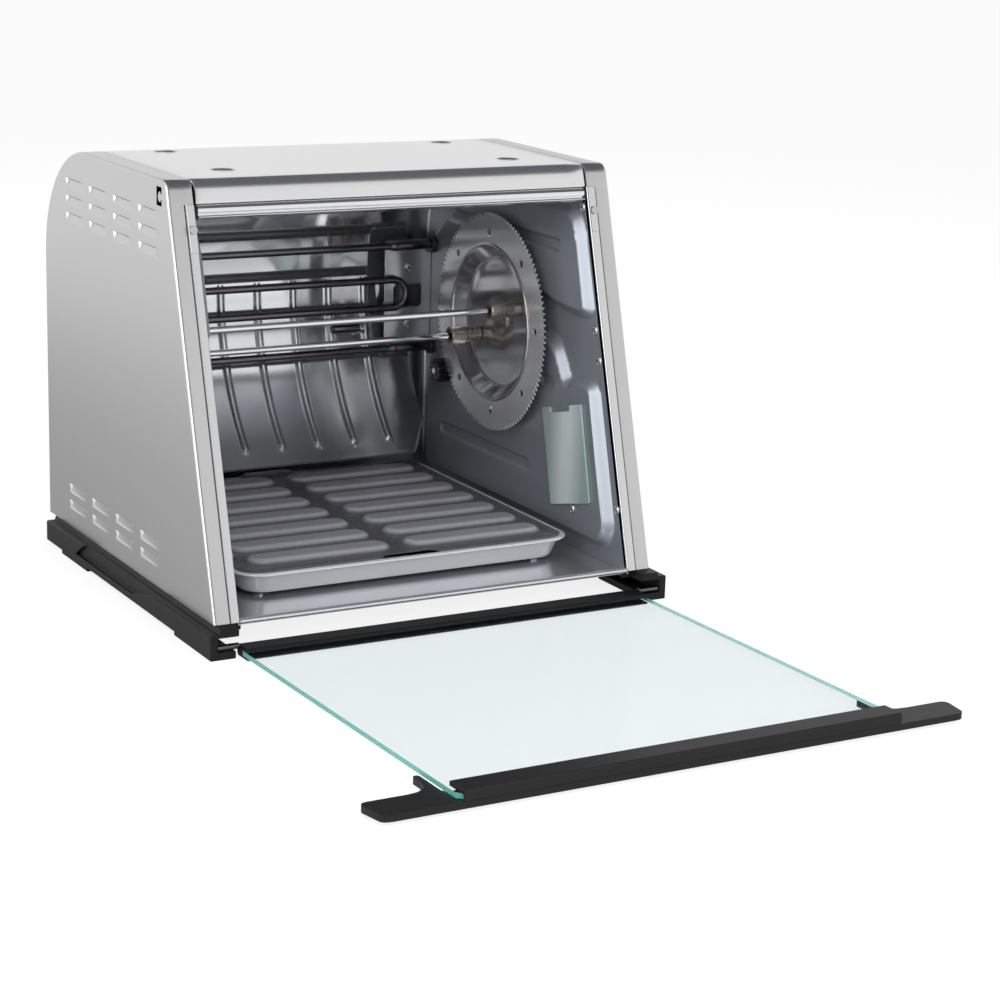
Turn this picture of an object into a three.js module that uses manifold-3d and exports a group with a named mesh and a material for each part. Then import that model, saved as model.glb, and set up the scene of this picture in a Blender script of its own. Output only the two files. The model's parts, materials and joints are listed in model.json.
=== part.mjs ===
// A countertop rotisserie oven with its glass door lying open.
// Millimetres, +X to the right, +Y to the back, +Z up. Z is zero on the table.
// Y is measured from the foot of the sloped front until the last lines,
// where the whole oven is moved so that its footprint is centred.
import * as THREE from 'three';
import { mergeVertices } from 'three/addons/utils/BufferGeometryUtils.js';
import Module from 'manifold-3d';

const wasm = await Module();
wasm.setup();

// Clearances, sheet and cutting overrun
const gap = 0.3;
const seam = 0.4;
const sheet = 1;
const overrun = 5;
const weld = 0.0005;

// Steel housing
const housingWidth = 400;
const housingDepth = 372.5;
const housingTop = 356;
const housingBottom = 24.4;
const frontLean = 96.5;
const rearRadius = 98;
const frontRoll = 8;
const coverFlange = 13.6;

// Opening, inner walls and ceiling
const pillarWidth = 22;
const wallBottom = 21.5;
const ceilingDrop = 25;
const railDrop = 19;
const trimHeight = 11.4;
const trimDepth = 7;
const trimGroove = 1;

// Louvres in the side covers
const louvreLength = 41;
const louvreHeight = 8;
const louvrePress = 3.6;
const louvrePitchAlong = 55.2;
const louvrePitchUp = 14.6;
const louvreRearInset = 74;
const louvreTopDrop = 29.5;
const louvreFootRise = 20;
const louvreColumns = 4;
const louvreTopRows = 3;
const louvreFootRows = 2;

// Round dimples in the top
const dimpleRadius = 9.5;
const dimpleDepth = 0.8;
const dimpleHalfSpan = 134;
const dimpleFrontY = 150;
const dimpleRearInset = 106.5;

// Pressed panel of the inner walls, with the wheel pocket and the channel
const panelRise = 8;
const panelSlope = 8;
const panelMargin = 12;
const panelCorner = 9;
const pocketRadius = 68;
const barDepth = 1.2;
const barWidth = 11;

// Curved reflector
const reflectorRadius = 200;
const reflectorMidRise = 21.5;
const reflectorFoot = 66;
const reflectorSideRoom = 28;
const reflectorCornerAcross = 21;
const reflectorCornerUp = 26;
const ribPitch = 36;
const ribWidth = 5;
const ribRise = 2;
const ribCount = 7;
const ribEndInset = 9;

// Floor pan
const hemHeight = 5.5;
const hemDepth = 3;
const floorBackRise = 12;

// Base rails
const skirtOverhang = 8.5;
const skirtFront = 13;
const skirtRearInset = 16;
const skirtTop = 20.8;
const skirtWall = 6;
const footDepth = 3;
const frontFootLength = 74;
const rearFootInset = 117.5;
const rearFootLength = 63;
const ledgeReach = 7;
const ledgeThickness = 3.6;
const channelLipRoom = 4;
const channelLipThickness = 3.2;
const gripDepth = 3.6;
const gripFloor = 8.5;
const gripFrontY = 104;
const gripFrontRun = 50;
const gripRearInset = 88.5;
const gripRearRun = 20;
const rearRailDepth = 12;
const rearRailBottom = 12;

// Spit wheels, rods and sleeves
const wheelRearRoom = 157;
const wheelDrop = 155;
const wheelWallRoom = 20;
const gearModule = 1.6;
const wheelTeeth = 120;
const wheelThickness = 1.5;
const wheelToothDepth = 4;
const toothFootShare = 0.88;
const dishRadius = 68.2;
const dishFloorRadius = 57.7;
const dishDepth = 10;
const ringHoleCircle = 80.5;
const ringHoleRadius = 3.2;
const ringHoleCount = 8;
const hubRadius = 4;
const rodRadius = 3;
const rodCircle = 39.4;
const rodAngle = 153.6;
const sleeveLength = 31;
const sleeveRadius = 6.7;
const collarRadius = 8;
const collarLength = 15;
const sleeveBoreDepth = 12;
const bushRadius = 7;
const bushLength = 2.4;
const seatWall = 5;
const seatReach = 14;
const liftAngle = 12;

// Drive pinion, motor and shaft
const pinionTeeth = 12;
const pinionAngle = -35.1;
const meshBacklash = 0.3;
const pinionToothRise = 1.4;
const pinionToothDrop = 2.1;
const pinionTipHalf = 0.55;
const pinionRootHalf = 1.6;
const pinionLength = 19.2;
const shaftRadius = 3;
const shaftEndReach = 1.6;
const motorHeight = 46;
const motorLength = 52;

// Heating element
const elementRearRoom = 26.5;
const elementRadius = 3.5;
const crimpRadius = 4.4;
const crimpLength = 41;
const elementWallRoom = 50;
const elementDrops = [105, 136.6, 162.7, 201.4];
const terminalRadius = 8;
const terminalThickness = 4.4;
const terminalSpigotRadius = 4.4;
const terminalSpigotLength = 12;
const bracketWidth = 48;
const bracketEdge = 9;
const bracketWindowHeight = 22;
const bracketThickness = 1.2;
const bracketHoleRadius = 3;
const probeRadius = 4.2;
const probeLength = 32;
const probeCollarRadius = 5.4;
const probeCollarLength = 5;
const probeX = 71;
const probeZ = 174;

// Oven lamp
const lampFromWheel = 123.2;
const lampZ = 105.5;
const lampTilt = 14;
const lampWidth = 65;
const lampHeight = 85;
const lampBorder = 5;
const paneThickness = 2;
const troughDepth = 23;
const bulbRadius = 7;
const bulbLength = 44;
const holderHeight = 14;

// Drip tray and its cover
const traySideRoom = 23;
const trayRearRoom = 23.5;
const trayFrontY = 49;
const trayDepth = 18.6;
const trayCorner = 24;
const trayFlange = 5;
const trayTaper = 5;
const trayFootHeight = 3;
const trayFootRadius = 4;
const trayFootInset = 26;
const coverInset = 5;
const ridgeRows = 7;
const ridgePitch = 38.5;
const ridgeLength = 130;
const ridgeWidth = 23;
const ridgeHeight = 5;
const ridgeSlopeAcross = 6.5;
const ridgeSlopeAlong = 9;
const ridgeStripHalf = 7;
const notchWidth = 55;
const notchDepth = 7;

// Door
const hingeY = -9;
const hingeZ = 9;
const glassThickness = 4;
const glassTopDrop = 2.5;
const glassSideRoom = 17;
const glassStart = 6;
const glassEnd = 359;
const glassChamfer = 7;
const hingeBarBack = 4;
const hingeBarFront = 16.5;
const hingeBarRise = 1;
const hingeBarWall = 1.6;
const hingeBarChamfer = 2;
const barEndRoom = 1.4;
const pinRadius = 2.5;
const pinInner = 12;
const topBarCover = 19.5;
const topBarLip = 2;
const topBarSideInset = 2;
const topBarThickness = 4;
const earReach = 61;
const earCover = 27.5;
const earLip = 1;
const earThickness = 5.2;
const earCorner = 6;
const prongReach = 57.5;
const prongWidth = 5;
const prongFillet = 19;
const earPadRadius = 4;
const earPadHeight = 2;
const earPadInset = 14;
const tableClearance = 0.5;

// Door catches on the pillars
const catchHeight = 38;
const catchInset = 0.8;
const studRadius = 3.4;
const studHeight = 2;
const studDrop = 20;

// Controls on the right side
const timerY = 150;
const timerZ = 262;
const modeY = 150;
const modeZ = 196;
const timerBodySize = 46;
const modeBodySize = 36;
const knobRadius = 19;
const knobHeight = 15;
const knobSkirtHeight = 4;
const knobSkirtRadius = 22;
const knobGripWidth = 9;
const knobShaftRadius = 3;

// Cord gland in the back
const glandX = 150;
const glandZ = 62;
const glandRadius = 9;
const glandReach = 6;
const glandNeckRadius = 6;
const glandNutThickness = 3;
const glandBoreRadius = 3.4;

// Smoothness
const roundSides = 20;
const wheelSides = 32;
const tubeSides = 10;
const holeSides = 8;
const arcSteps = 12;
const reflectorSteps = 9;
const cornerSteps = 4;
const bendSteps = 7;

const halfWidth = housingWidth / 2;
const openingHalf = halfWidth - pillarWidth;
const slopeRise = housingTop - housingBottom;
const ceilingHeight = housingTop - ceilingDrop;
const slopeLength = Math.hypot(frontLean, slopeRise);
const stripOuter = halfWidth - coverFlange - seam;
const innerFace = halfWidth - sheet;
const wallBack = openingHalf + sheet;
const crest = openingHalf - panelRise;
const backInner = housingDepth - sheet - gap;
const wheelY = housingDepth - wheelRearRoom;
const lampY = wheelY - lampFromWheel;
const wheelZ = housingTop - wheelDrop;
const wheelHalfSpan = openingHalf - wheelWallRoom;
const elementY = housingDepth - elementRearRoom;
const elementHeights = elementDrops.map((drop) => housingTop - drop);
const elementHalfRun = openingHalf - elementWallRoom;
const reflectorWidth = 2 * (openingHalf - reflectorSideRoom);
const reflectorMidHeight = (reflectorFoot + ceilingHeight) / 2 + reflectorMidRise;
const trayWidth = 2 * (openingHalf - traySideRoom);
const trayLength = housingDepth - trayFrontY - trayRearRoom;
const gripRearY = housingDepth - gripRearInset;
const glassHalfWidth = halfWidth - glassSideRoom;
const ledgeInner = glassHalfWidth - ledgeReach;
const channelLipInner = glassHalfWidth + channelLipRoom;
const topBarHalfWidth = glassHalfWidth - topBarSideInset;
const earHalfSpan = glassHalfWidth + earReach;
const topBarStart = glassEnd - topBarCover;
const topBarEnd = glassEnd + topBarLip;
const earStart = glassEnd - earCover;
const earEnd = glassEnd + earLip;
const prongTip = glassEnd - prongReach;

function degrees(value) {
  return THREE.MathUtils.degToRad(value);
}

// Solids for joining and cutting

function signedVolume(position, index) {
  const a = new THREE.Vector3();
  const b = new THREE.Vector3();
  const c = new THREE.Vector3();
  let sum = 0;
  for (let i = 0; i < index.count; i += 3) {
    a.fromBufferAttribute(position, index.getX(i));
    b.fromBufferAttribute(position, index.getX(i + 1));
    c.fromBufferAttribute(position, index.getX(i + 2));
    sum += a.dot(b.cross(c));
  }
  return sum;
}

function turnInsideOut(index) {
  for (let i = 0; i < index.count; i += 3) {
    const kept = index.getX(i);
    index.setX(i, index.getX(i + 1));
    index.setX(i + 1, kept);
  }
}

function toSolid(geometry) {
  const bare = geometry.clone();
  bare.deleteAttribute('normal');
  bare.deleteAttribute('uv');
  const merged = mergeVertices(bare, weld);
  if (signedVolume(merged.attributes.position, merged.index) < 0) {
    turnInsideOut(merged.index);
  }
  return new wasm.Manifold(new wasm.Mesh({
    numProp: 3,
    vertProperties: new Float32Array(merged.attributes.position.array),
    triVerts: new Uint32Array(merged.index.array),
  }));
}

function toGeometry(solid) {
  const mesh = solid.getMesh();
  const geometry = new THREE.BufferGeometry();
  const positions = new Float32Array(mesh.vertProperties);
  geometry.setAttribute('position', new THREE.BufferAttribute(positions, mesh.numProp));
  geometry.setIndex(new THREE.BufferAttribute(new Uint32Array(mesh.triVerts), 1));
  geometry.computeVertexNormals();
  return geometry;
}

function mirrorAcross(geometry) {
  const copy = geometry.clone();
  copy.scale(-1, 1, 1);
  turnInsideOut(copy.index);
  copy.computeVertexNormals();
  return copy;
}

function joined(solids) {
  return solids.reduce((sum, next) => sum.add(next));
}

// Prisms whose outline is drawn in the plane across their run

const acrossX = new THREE.Matrix4().makeBasis(
  new THREE.Vector3(0, 1, 0), new THREE.Vector3(0, 0, 1), new THREE.Vector3(1, 0, 0));
const acrossY = new THREE.Matrix4().makeBasis(
  new THREE.Vector3(1, 0, 0), new THREE.Vector3(0, 0, 1), new THREE.Vector3(0, -1, 0));

function extruded(shape, depth, options = {}) {
  const settings = { depth, bevelEnabled: false, curveSegments: cornerSteps, ...options };
  return new THREE.ExtrudeGeometry(shape, settings);
}

// Outline in (y, z), run along X.
function prismX(shape, fromX, toX, options) {
  const geometry = extruded(shape, toX - fromX, options);
  geometry.applyMatrix4(acrossX);
  geometry.translate(fromX, 0, 0);
  return toSolid(geometry);
}

// Outline in (x, z), run along Y.
function prismY(shape, fromY, toY, options) {
  const geometry = extruded(shape, toY - fromY, options);
  geometry.applyMatrix4(acrossY);
  geometry.translate(0, toY, 0);
  return toSolid(geometry);
}

// Outline in (x, y), run along Z.
function prismZ(shape, fromZ, toZ, options) {
  const geometry = extruded(shape, toZ - fromZ, options);
  geometry.translate(0, 0, fromZ);
  return toSolid(geometry);
}

function block(fromX, toX, fromY, toY, fromZ, toZ) {
  const geometry = new THREE.BoxGeometry(toX - fromX, toY - fromY, toZ - fromZ);
  geometry.translate((fromX + toX) / 2, (fromY + toY) / 2, (fromZ + toZ) / 2);
  return toSolid(geometry);
}

function rodAlongX(radius, fromX, toX, y, z, sides = roundSides) {
  const geometry = new THREE.CylinderGeometry(radius, radius, toX - fromX, sides);
  geometry.rotateZ(-Math.PI / 2);
  geometry.translate((fromX + toX) / 2, y, z);
  return toSolid(geometry);
}

function rodAlongY(radius, fromY, toY, x, z, sides = roundSides) {
  const geometry = new THREE.CylinderGeometry(radius, radius, toY - fromY, sides);
  geometry.translate(x, (fromY + toY) / 2, z);
  return toSolid(geometry);
}

function rodAlongZ(radius, fromZ, toZ, x, y, sides = roundSides) {
  const geometry = new THREE.CylinderGeometry(radius, radius, toZ - fromZ, sides);
  geometry.rotateX(Math.PI / 2);
  geometry.translate(x, y, (fromZ + toZ) / 2);
  return toSolid(geometry);
}

// A profile of [radius, x] pairs turned about an axis along X.
function turnedAlongX(profile, y, z, sides = roundSides) {
  const points = profile.map(([radius, x]) => new THREE.Vector2(radius, x));
  const geometry = new THREE.LatheGeometry(points, sides);
  geometry.applyMatrix4(new THREE.Matrix4().makeBasis(
    new THREE.Vector3(0, 1, 0), new THREE.Vector3(1, 0, 0), new THREE.Vector3(0, 0, -1)));
  geometry.translate(0, y, z);
  return toSolid(geometry);
}

function polygon(points) {
  return new THREE.Shape(points.map(([u, v]) => new THREE.Vector2(u, v)));
}

// A polygon whose corners are rounded as far as their sides allow.
function roundedPolygon(points, radius) {
  const shape = new THREE.Shape();
  const corners = points.map(([u, v]) => new THREE.Vector2(u, v));
  corners.forEach((corner, i) => {
    const before = corners[(i + corners.length - 1) % corners.length];
    const after = corners[(i + 1) % corners.length];
    const cut = Math.min(radius, corner.distanceTo(before) / 2, corner.distanceTo(after) / 2);
    const enter = corner.clone().add(before.clone().sub(corner).setLength(cut));
    const leave = corner.clone().add(after.clone().sub(corner).setLength(cut));
    if (i === 0) {
      shape.moveTo(enter.x, enter.y);
    } else {
      shape.lineTo(enter.x, enter.y);
    }
    shape.quadraticCurveTo(corner.x, corner.y, leave.x, leave.y);
  });
  shape.closePath();
  return shape;
}

function roundedRectangle(halfU, halfV, radius, centreU = 0, centreV = 0) {
  return roundedPolygon([
    [centreU - halfU, centreV - halfV], [centreU + halfU, centreV - halfV],
    [centreU + halfU, centreV + halfV], [centreU - halfU, centreV + halfV],
  ], radius);
}

function circle(radius, sides, centreU = 0, centreV = 0) {
  const points = [];
  for (let side = 0; side < sides; side += 1) {
    const angle = 2 * Math.PI * side / sides;
    points.push([centreU + radius * Math.cos(angle), centreV + radius * Math.sin(angle)]);
  }
  return polygon(points);
}

// A closed skin over rings of equal point counts, capped at its first and last ring.
function loftRings(rings) {
  const count = rings[0].length;
  const positions = rings.flat().flatMap((point) => point);
  const triangles = [];
  for (let r = 0; r + 1 < rings.length; r += 1) {
    for (let i = 0; i < count; i += 1) {
      const next = (i + 1) % count;
      const low = r * count;
      const high = low + count;
      triangles.push(low + i, low + next, high + next, low + i, high + next, high + i);
    }
  }
  const last = (rings.length - 1) * count;
  for (let i = 1; i + 1 < count; i += 1) {
    triangles.push(0, i + 1, i, last, last + i, last + i + 1);
  }
  const geometry = new THREE.BufferGeometry();
  geometry.setAttribute('position', new THREE.Float32BufferAttribute(positions, 3));
  geometry.setIndex(triangles);
  return toSolid(geometry);
}

// One level ring of a rounded rectangle.
function trayRing(halfX, halfY, radius, centreY, z) {
  const ring = [];
  const signs = [[1, 1], [-1, 1], [-1, -1], [1, -1]];
  signs.forEach(([signX, signY], corner) => {
    for (let step = 0; step <= cornerSteps; step += 1) {
      const angle = (corner + step / cornerSteps) * Math.PI / 2;
      ring.push([
        signX * (halfX - radius) + radius * Math.cos(angle),
        centreY + signY * (halfY - radius) + radius * Math.sin(angle),
        z,
      ]);
    }
  });
  return ring;
}

// Materials

function finish(color, roughness, metalness, extra = {}) {
  return new THREE.MeshStandardMaterial({ color, roughness, metalness, ...extra });
}

const brushedSteel = finish('#b9babb', 0.42, 0.95);
const brightTrim = finish('#dcdcdc', 0.2, 1);
const zincPaint = finish('#69727d', 0.45, 0.6);
const polishedSteel = finish('#8f9296', 0.15, 1);
const floorSteel = finish('#5c6067', 0.2, 0.9);
const blackPlastic = finish('#1e1f20', 0.55, 0);
const blackHandle = finish('#242526', 0.5, 0);
const doorGlassFinish = finish('#e7eef0', 0.05, 0, { transparent: true, opacity: 0.45 });
const lampGlassFinish = finish('#8fa8a0', 0.15, 0, { transparent: true, opacity: 0.7 });
const elementSteel = finish('#2c2a29', 0.45, 0.6);
const wheelSteel = finish('#8d8c8b', 0.28, 1);
const rodSteel = finish('#c9c9c9', 0.12, 1);
const sleeveSteel = finish('#8a8073', 0.35, 0.9);
const pinionPlastic = finish('#151515', 0.5, 0);
const traySteel = finish('#9da4ac', 0.35, 0.8);
const coverCoat = finish('#4b4b50', 0.4, 0.3);
const ceramic = finish('#cfc8ba', 0.7, 0);
const bracketSteel = finish('#a9abad', 0.35, 0.9);
const motorSteel = finish('#83868a', 0.5, 0.8);

const oven = new THREE.Group();
oven.name = 'rotisserie_oven';

function addPiece(name, solid, material, parent = oven) {
  const geometry = solid.isBufferGeometry ? solid : toGeometry(solid);
  const mesh = new THREE.Mesh(geometry, material);
  mesh.name = name;
  parent.add(mesh);
  return geometry;
}

// Side profile of the housing

// Y of the sloped front at a height, moved in by an inset square to the slope.
function frontAt(z, inset) {
  return ((z - housingBottom) * frontLean + inset * slopeLength) / slopeRise;
}

// Point on the slope: distance up from its foot, and inset square to it.
function slopePoint(along, inset) {
  return [
    (along * frontLean + inset * slopeRise) / slopeLength,
    housingBottom + (along * slopeRise - inset * frontLean) / slopeLength,
  ];
}

function slopeBand(fromAlong, toAlong, fromInset, toInset) {
  return polygon([
    slopePoint(fromAlong, fromInset), slopePoint(toAlong, fromInset),
    slopePoint(toAlong, toInset), slopePoint(fromAlong, toInset),
  ]);
}

function sideProfile(inset, bottom, frontInset = inset) {
  const top = housingTop - inset;
  const back = housingDepth - inset;
  const radius = rearRadius - inset;
  const cornerY = frontAt(top, frontInset);
  const shape = new THREE.Shape();
  shape.moveTo(frontAt(bottom, frontInset), bottom);
  shape.lineTo(cornerY - frontRoll * frontLean / slopeLength, top - frontRoll * slopeRise / slopeLength);
  shape.quadraticCurveTo(cornerY, top, cornerY + frontRoll, top);
  shape.lineTo(back - radius, top);
  shape.absarc(back - radius, top - radius, radius, Math.PI / 2, 0, true);
  shape.lineTo(back, bottom);
  shape.closePath();
  return shape;
}

const profileCurve = { curveSegments: arcSteps };
const reflectorCurve = { curveSegments: reflectorSteps };
const railAlong = slopeLength - railDrop;

// Side covers: a side sheet with a flange round the front, the top and the back

function louvres() {
  const hoods = [];
  const cuts = [];
  const rowHeights = [];
  for (let row = 0; row < louvreTopRows; row += 1) {
    rowHeights.push(housingTop - louvreTopDrop - row * louvrePitchUp);
  }
  for (let row = 0; row < louvreFootRows; row += 1) {
    rowHeights.push(housingBottom + louvreFootRise + row * louvrePitchUp);
  }
  const insideX = innerFace - louvrePress;
  for (const height of rowHeights) {
    const deep = height + louvreHeight / 2;
    const flush = height - louvreHeight / 2;
    const hood = polygon([
      [innerFace + sheet / 2, flush - sheet], [innerFace + sheet / 2, deep], [insideX, deep],
    ]);
    const cut = polygon([
      [halfWidth + overrun, flush], [halfWidth, flush], [insideX + sheet, deep + sheet / 2],
      [innerFace, deep + sheet / 2], [innerFace, deep], [halfWidth + overrun, deep],
    ]);
    for (let column = 0; column < louvreColumns; column += 1) {
      const centre = housingDepth - louvreRearInset - column * louvrePitchAlong;
      const half = louvreLength / 2;
      hoods.push(prismY(hood, centre - half - sheet, centre + half + sheet));
      cuts.push(prismY(cut, centre - half, centre + half));
    }
  }
  return { hoods, cuts };
}

function sideCover() {
  const flangeEdge = halfWidth - coverFlange;
  const outer = prismX(sideProfile(0, housingBottom), flangeEdge, halfWidth, profileCurve);
  const inner = prismX(
    sideProfile(sheet, housingBottom - overrun), flangeEdge - overrun, innerFace, profileCurve);
  const { hoods, cuts } = louvres();
  return outer.subtract(inner).add(joined(hoods)).subtract(joined(cuts));
}

const plainCover = sideCover();
addPiece('left_cover', mirrorAcross(toGeometry(plainCover)), brushedSteel);
const timerHole = rodAlongX(knobShaftRadius + gap, innerFace - overrun, halfWidth + overrun, timerY, timerZ);
const modeHole = rodAlongX(knobShaftRadius + gap, innerFace - overrun, halfWidth + overrun, modeY, modeZ);
addPiece('right_cover', plainCover.subtract(timerHole).subtract(modeHole), brushedSteel);

// Top and back cover with a rolled front rail, dimples and the gland hole

function topAndBack() {
  const half = stripOuter;
  const outer = prismX(sideProfile(0, housingBottom), -half, half, profileCurve);
  const inner = prismX(
    sideProfile(sheet, housingBottom - overrun), -half - overrun, half + overrun, profileCurve);
  const railFoot = slopePoint(railAlong, 0)[1];
  const below = block(
    -half - overrun, half + overrun, -overrun, housingDepth / 2, housingBottom - overrun, railFoot);
  let wrap = outer.subtract(inner).subtract(below);
  const top = housingTop - sheet;
  for (const x of [-dimpleHalfSpan, dimpleHalfSpan]) {
    for (const y of [dimpleFrontY, housingDepth - dimpleRearInset]) {
      wrap = wrap.add(rodAlongZ(dimpleRadius + sheet, top - dimpleDepth, top + sheet / 2, x, y));
      wrap = wrap.subtract(
        rodAlongZ(dimpleRadius, housingTop - dimpleDepth, housingTop + overrun, x, y));
    }
  }
  return wrap.subtract(rodAlongY(
    glandNeckRadius + gap, housingDepth - overrun, housingDepth + overrun, glandX, glandZ));
}

addPiece('top_and_back_cover', topAndBack(), brushedSteel);

// Bright trim bar over the opening, with a groove along it

function trimBar() {
  const low = railAlong - gap - trimHeight;
  const high = railAlong - gap;
  const middle = (low + high) / 2;
  const section = polygon([
    slopePoint(low, trimGroove), slopePoint(low + trimGroove, 0),
    slopePoint(middle - trimGroove, 0), slopePoint(middle, trimGroove), slopePoint(middle + trimGroove, 0),
    slopePoint(high - trimGroove, 0), slopePoint(high, trimGroove),
    slopePoint(high, trimDepth), slopePoint(low, trimDepth),
  ]);
  return prismX(section, -openingHalf + gap, openingHalf - gap);
}

addPiece('front_trim_bar', trimBar(), brightTrim);

// Inner walls: a sheet with a front strip, a raised panel and stiffening bars

const wallHeight = ceilingHeight - wallBottom;

// Front edge of the raised panel, over and under the channel,
// as shares of the reach in front of the wheel pocket and of the wall's height.
const upperEdgeShares = [
  [0.67681, 0.966], [0.59095, 0.905], [0.46215, 0.68], [0.53792, 0.661], [0.83339, 0.666],
];
const lowerEdgeShares = [
  [0.82076, 0.586], [0.67429, 0.479], [0.63641, 0.498], [0.55559, 0.507],
  [0.38892, 0.502], [0.23486, 0.243], [0.149, 0.1], [0.23992, 0.04],
];
const channelUpperAngle = 149;
const channelLowerAngle = 175.5;

// The stiffening bars of the panel, as shares: start y, end y and z.
// The long ones run over the housing's depth, the short one lies by the channel.
const longBarShares = [[0.315, 0.865, 0.848], [0.425, 0.87, 0.192]];
const shortBarShares = [0.82076, 0.97229, 0.458];

function wallZ(share) {
  return wallBottom + share * wallHeight;
}

function wallPoint([yShare, zShare]) {
  return [yShare * (wheelY - pocketRadius), wallZ(zShare)];
}

function panelOutline() {
  const rear = backInner - panelMargin;
  const foot = wallPoint(lowerEdgeShares[lowerEdgeShares.length - 1])[1];
  const top = wallPoint(upperEdgeShares[0])[1];
  const shape = new THREE.Shape();
  const start = wallPoint(upperEdgeShares[0]);
  shape.moveTo(...start);
  for (const share of upperEdgeShares.slice(1)) {
    shape.lineTo(...wallPoint(share));
  }
  shape.absarc(wheelY, wheelZ, pocketRadius,
    degrees(channelUpperAngle), degrees(channelLowerAngle), true);
  for (const share of lowerEdgeShares) {
    shape.lineTo(...wallPoint(share));
  }
  shape.lineTo(rear - panelCorner, foot);
  shape.lineTo(rear, foot + panelCorner);
  shape.lineTo(rear, housingTop - rearRadius);
  shape.lineTo(housingDepth - rearRadius + panelCorner, top);
  shape.closePath();
  return shape;
}

// The panel's press form: its foot on the sheet, sloped sides, its crest in the cavity.
function panelForm(shift) {
  const geometry = new THREE.ExtrudeGeometry(panelOutline(), {
    depth: sheet, bevelEnabled: true, bevelThickness: panelRise, bevelSize: panelSlope,
    bevelOffset: -panelSlope, bevelSegments: 1, curveSegments: arcSteps,
  });
  geometry.applyMatrix4(acrossX);
  geometry.translate(openingHalf + shift, 0, 0);
  return toSolid(geometry);
}

function tiltedAboutLamp(solid) {
  const geometry = toGeometry(solid);
  geometry.translate(0, -lampY, -lampZ);
  geometry.rotateX(-degrees(lampTilt));
  geometry.translate(0, lampY, lampZ);
  return toSolid(geometry);
}

function lampBlock(fromX, toX, halfY, halfZ) {
  return tiltedAboutLamp(block(
    fromX, toX, lampY - halfY, lampY + halfY, lampZ - halfZ, lampZ + halfZ));
}

const pinionDistance = gearModule * (wheelTeeth + pinionTeeth) / 2 + meshBacklash;
const pinionY = wheelY + pinionDistance * Math.cos(degrees(pinionAngle));
const pinionZ = wheelZ + pinionDistance * Math.sin(degrees(pinionAngle));
const elementTop = elementHeights[0];
const elementFoot = elementHeights[elementHeights.length - 1];

function innerWall() {
  const profile = sideProfile(sheet + gap, wallBottom, 0);
  const plate = prismX(profile, openingHalf, wallBack, profileCurve).subtract(block(
    openingHalf - overrun, wallBack + overrun, -overrun, housingDepth + overrun,
    ceilingHeight + sheet, housingTop + overrun));
  const strip = prismX(slopeBand(0, railAlong - gap, 0, sheet), openingHalf, stripOuter);
  const keep = block(
    crest - overrun, wallBack, -overrun, housingDepth + overrun, 0, housingTop);
  let wall = plate.add(strip).add(panelForm(0).intersect(keep)).subtract(panelForm(sheet));
  const bars = longBarShares.map(([start, end, height]) => [housingDepth * start, housingDepth * end, height]);
  const channelReach = wheelY - pocketRadius;
  bars.push([channelReach * shortBarShares[0], channelReach * shortBarShares[1], shortBarShares[2]]);
  for (const [startY, endY, heightShare] of bars) {
    const z = wallZ(heightShare);
    const half = (endY - startY) / 2;
    const bar = roundedRectangle(half, barWidth / 2, barWidth / 2, startY + half, z);
    const back = roundedRectangle(
      half + sheet, barWidth / 2 + sheet, barWidth / 2, startY + half, z);
    wall = wall.add(prismX(back, crest + sheet / 2, crest + barDepth + sheet));
    wall = wall.subtract(prismX(bar, crest - sheet, crest + barDepth));
  }
  const holeFrom = crest - overrun;
  const holeTo = wallBack + overrun;
  for (const z of [elementTop, elementFoot]) {
    wall = wall.subtract(rodAlongX(terminalSpigotRadius + gap, holeFrom, holeTo, elementY, z, tubeSides));
  }
  return wall;
}

const plainWall = innerWall();
const lampOpening = lampBlock(
  crest - overrun, wallBack + overrun, lampWidth / 2 - lampBorder, lampHeight / 2 - lampBorder);
const shaftHole = rodAlongX(
  shaftRadius + gap, crest - overrun, wallBack + overrun, pinionY, pinionZ);
addPiece('left_inner_wall', mirrorAcross(toGeometry(plainWall)), zincPaint);
addPiece('right_inner_wall', plainWall.subtract(lampOpening).subtract(shaftHole), zincPaint);

// Ceiling and curved reflector

const insideHousing = prismX(
  sideProfile(sheet + gap, wallBottom), -openingHalf, openingHalf, profileCurve);
const liningHalf = openingHalf - gap;
const ceilingFront = frontAt(ceilingHeight, trimDepth + gap);
addPiece('cavity_ceiling', block(
  -liningHalf, liningHalf, ceilingFront, housingDepth, ceilingHeight, ceilingHeight + sheet,
).intersect(insideHousing), zincPaint);

const reflectorCentreY = backInner - sheet - reflectorRadius;

function reflectorY(z, radius) {
  return reflectorCentreY + Math.sqrt(radius * radius - (z - reflectorMidHeight) ** 2);
}

function arcBand(innerRadius, outerRadius, fromZ, toZ) {
  const shape = new THREE.Shape();
  const low = (radius) => Math.asin((fromZ - reflectorMidHeight) / radius);
  const high = (radius) => Math.asin((toZ - reflectorMidHeight) / radius);
  shape.absarc(reflectorCentreY, reflectorMidHeight, outerRadius, low(outerRadius), high(outerRadius));
  shape.absarc(
    reflectorCentreY, reflectorMidHeight, innerRadius, high(innerRadius), low(innerRadius), true);
  shape.closePath();
  return shape;
}

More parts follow.
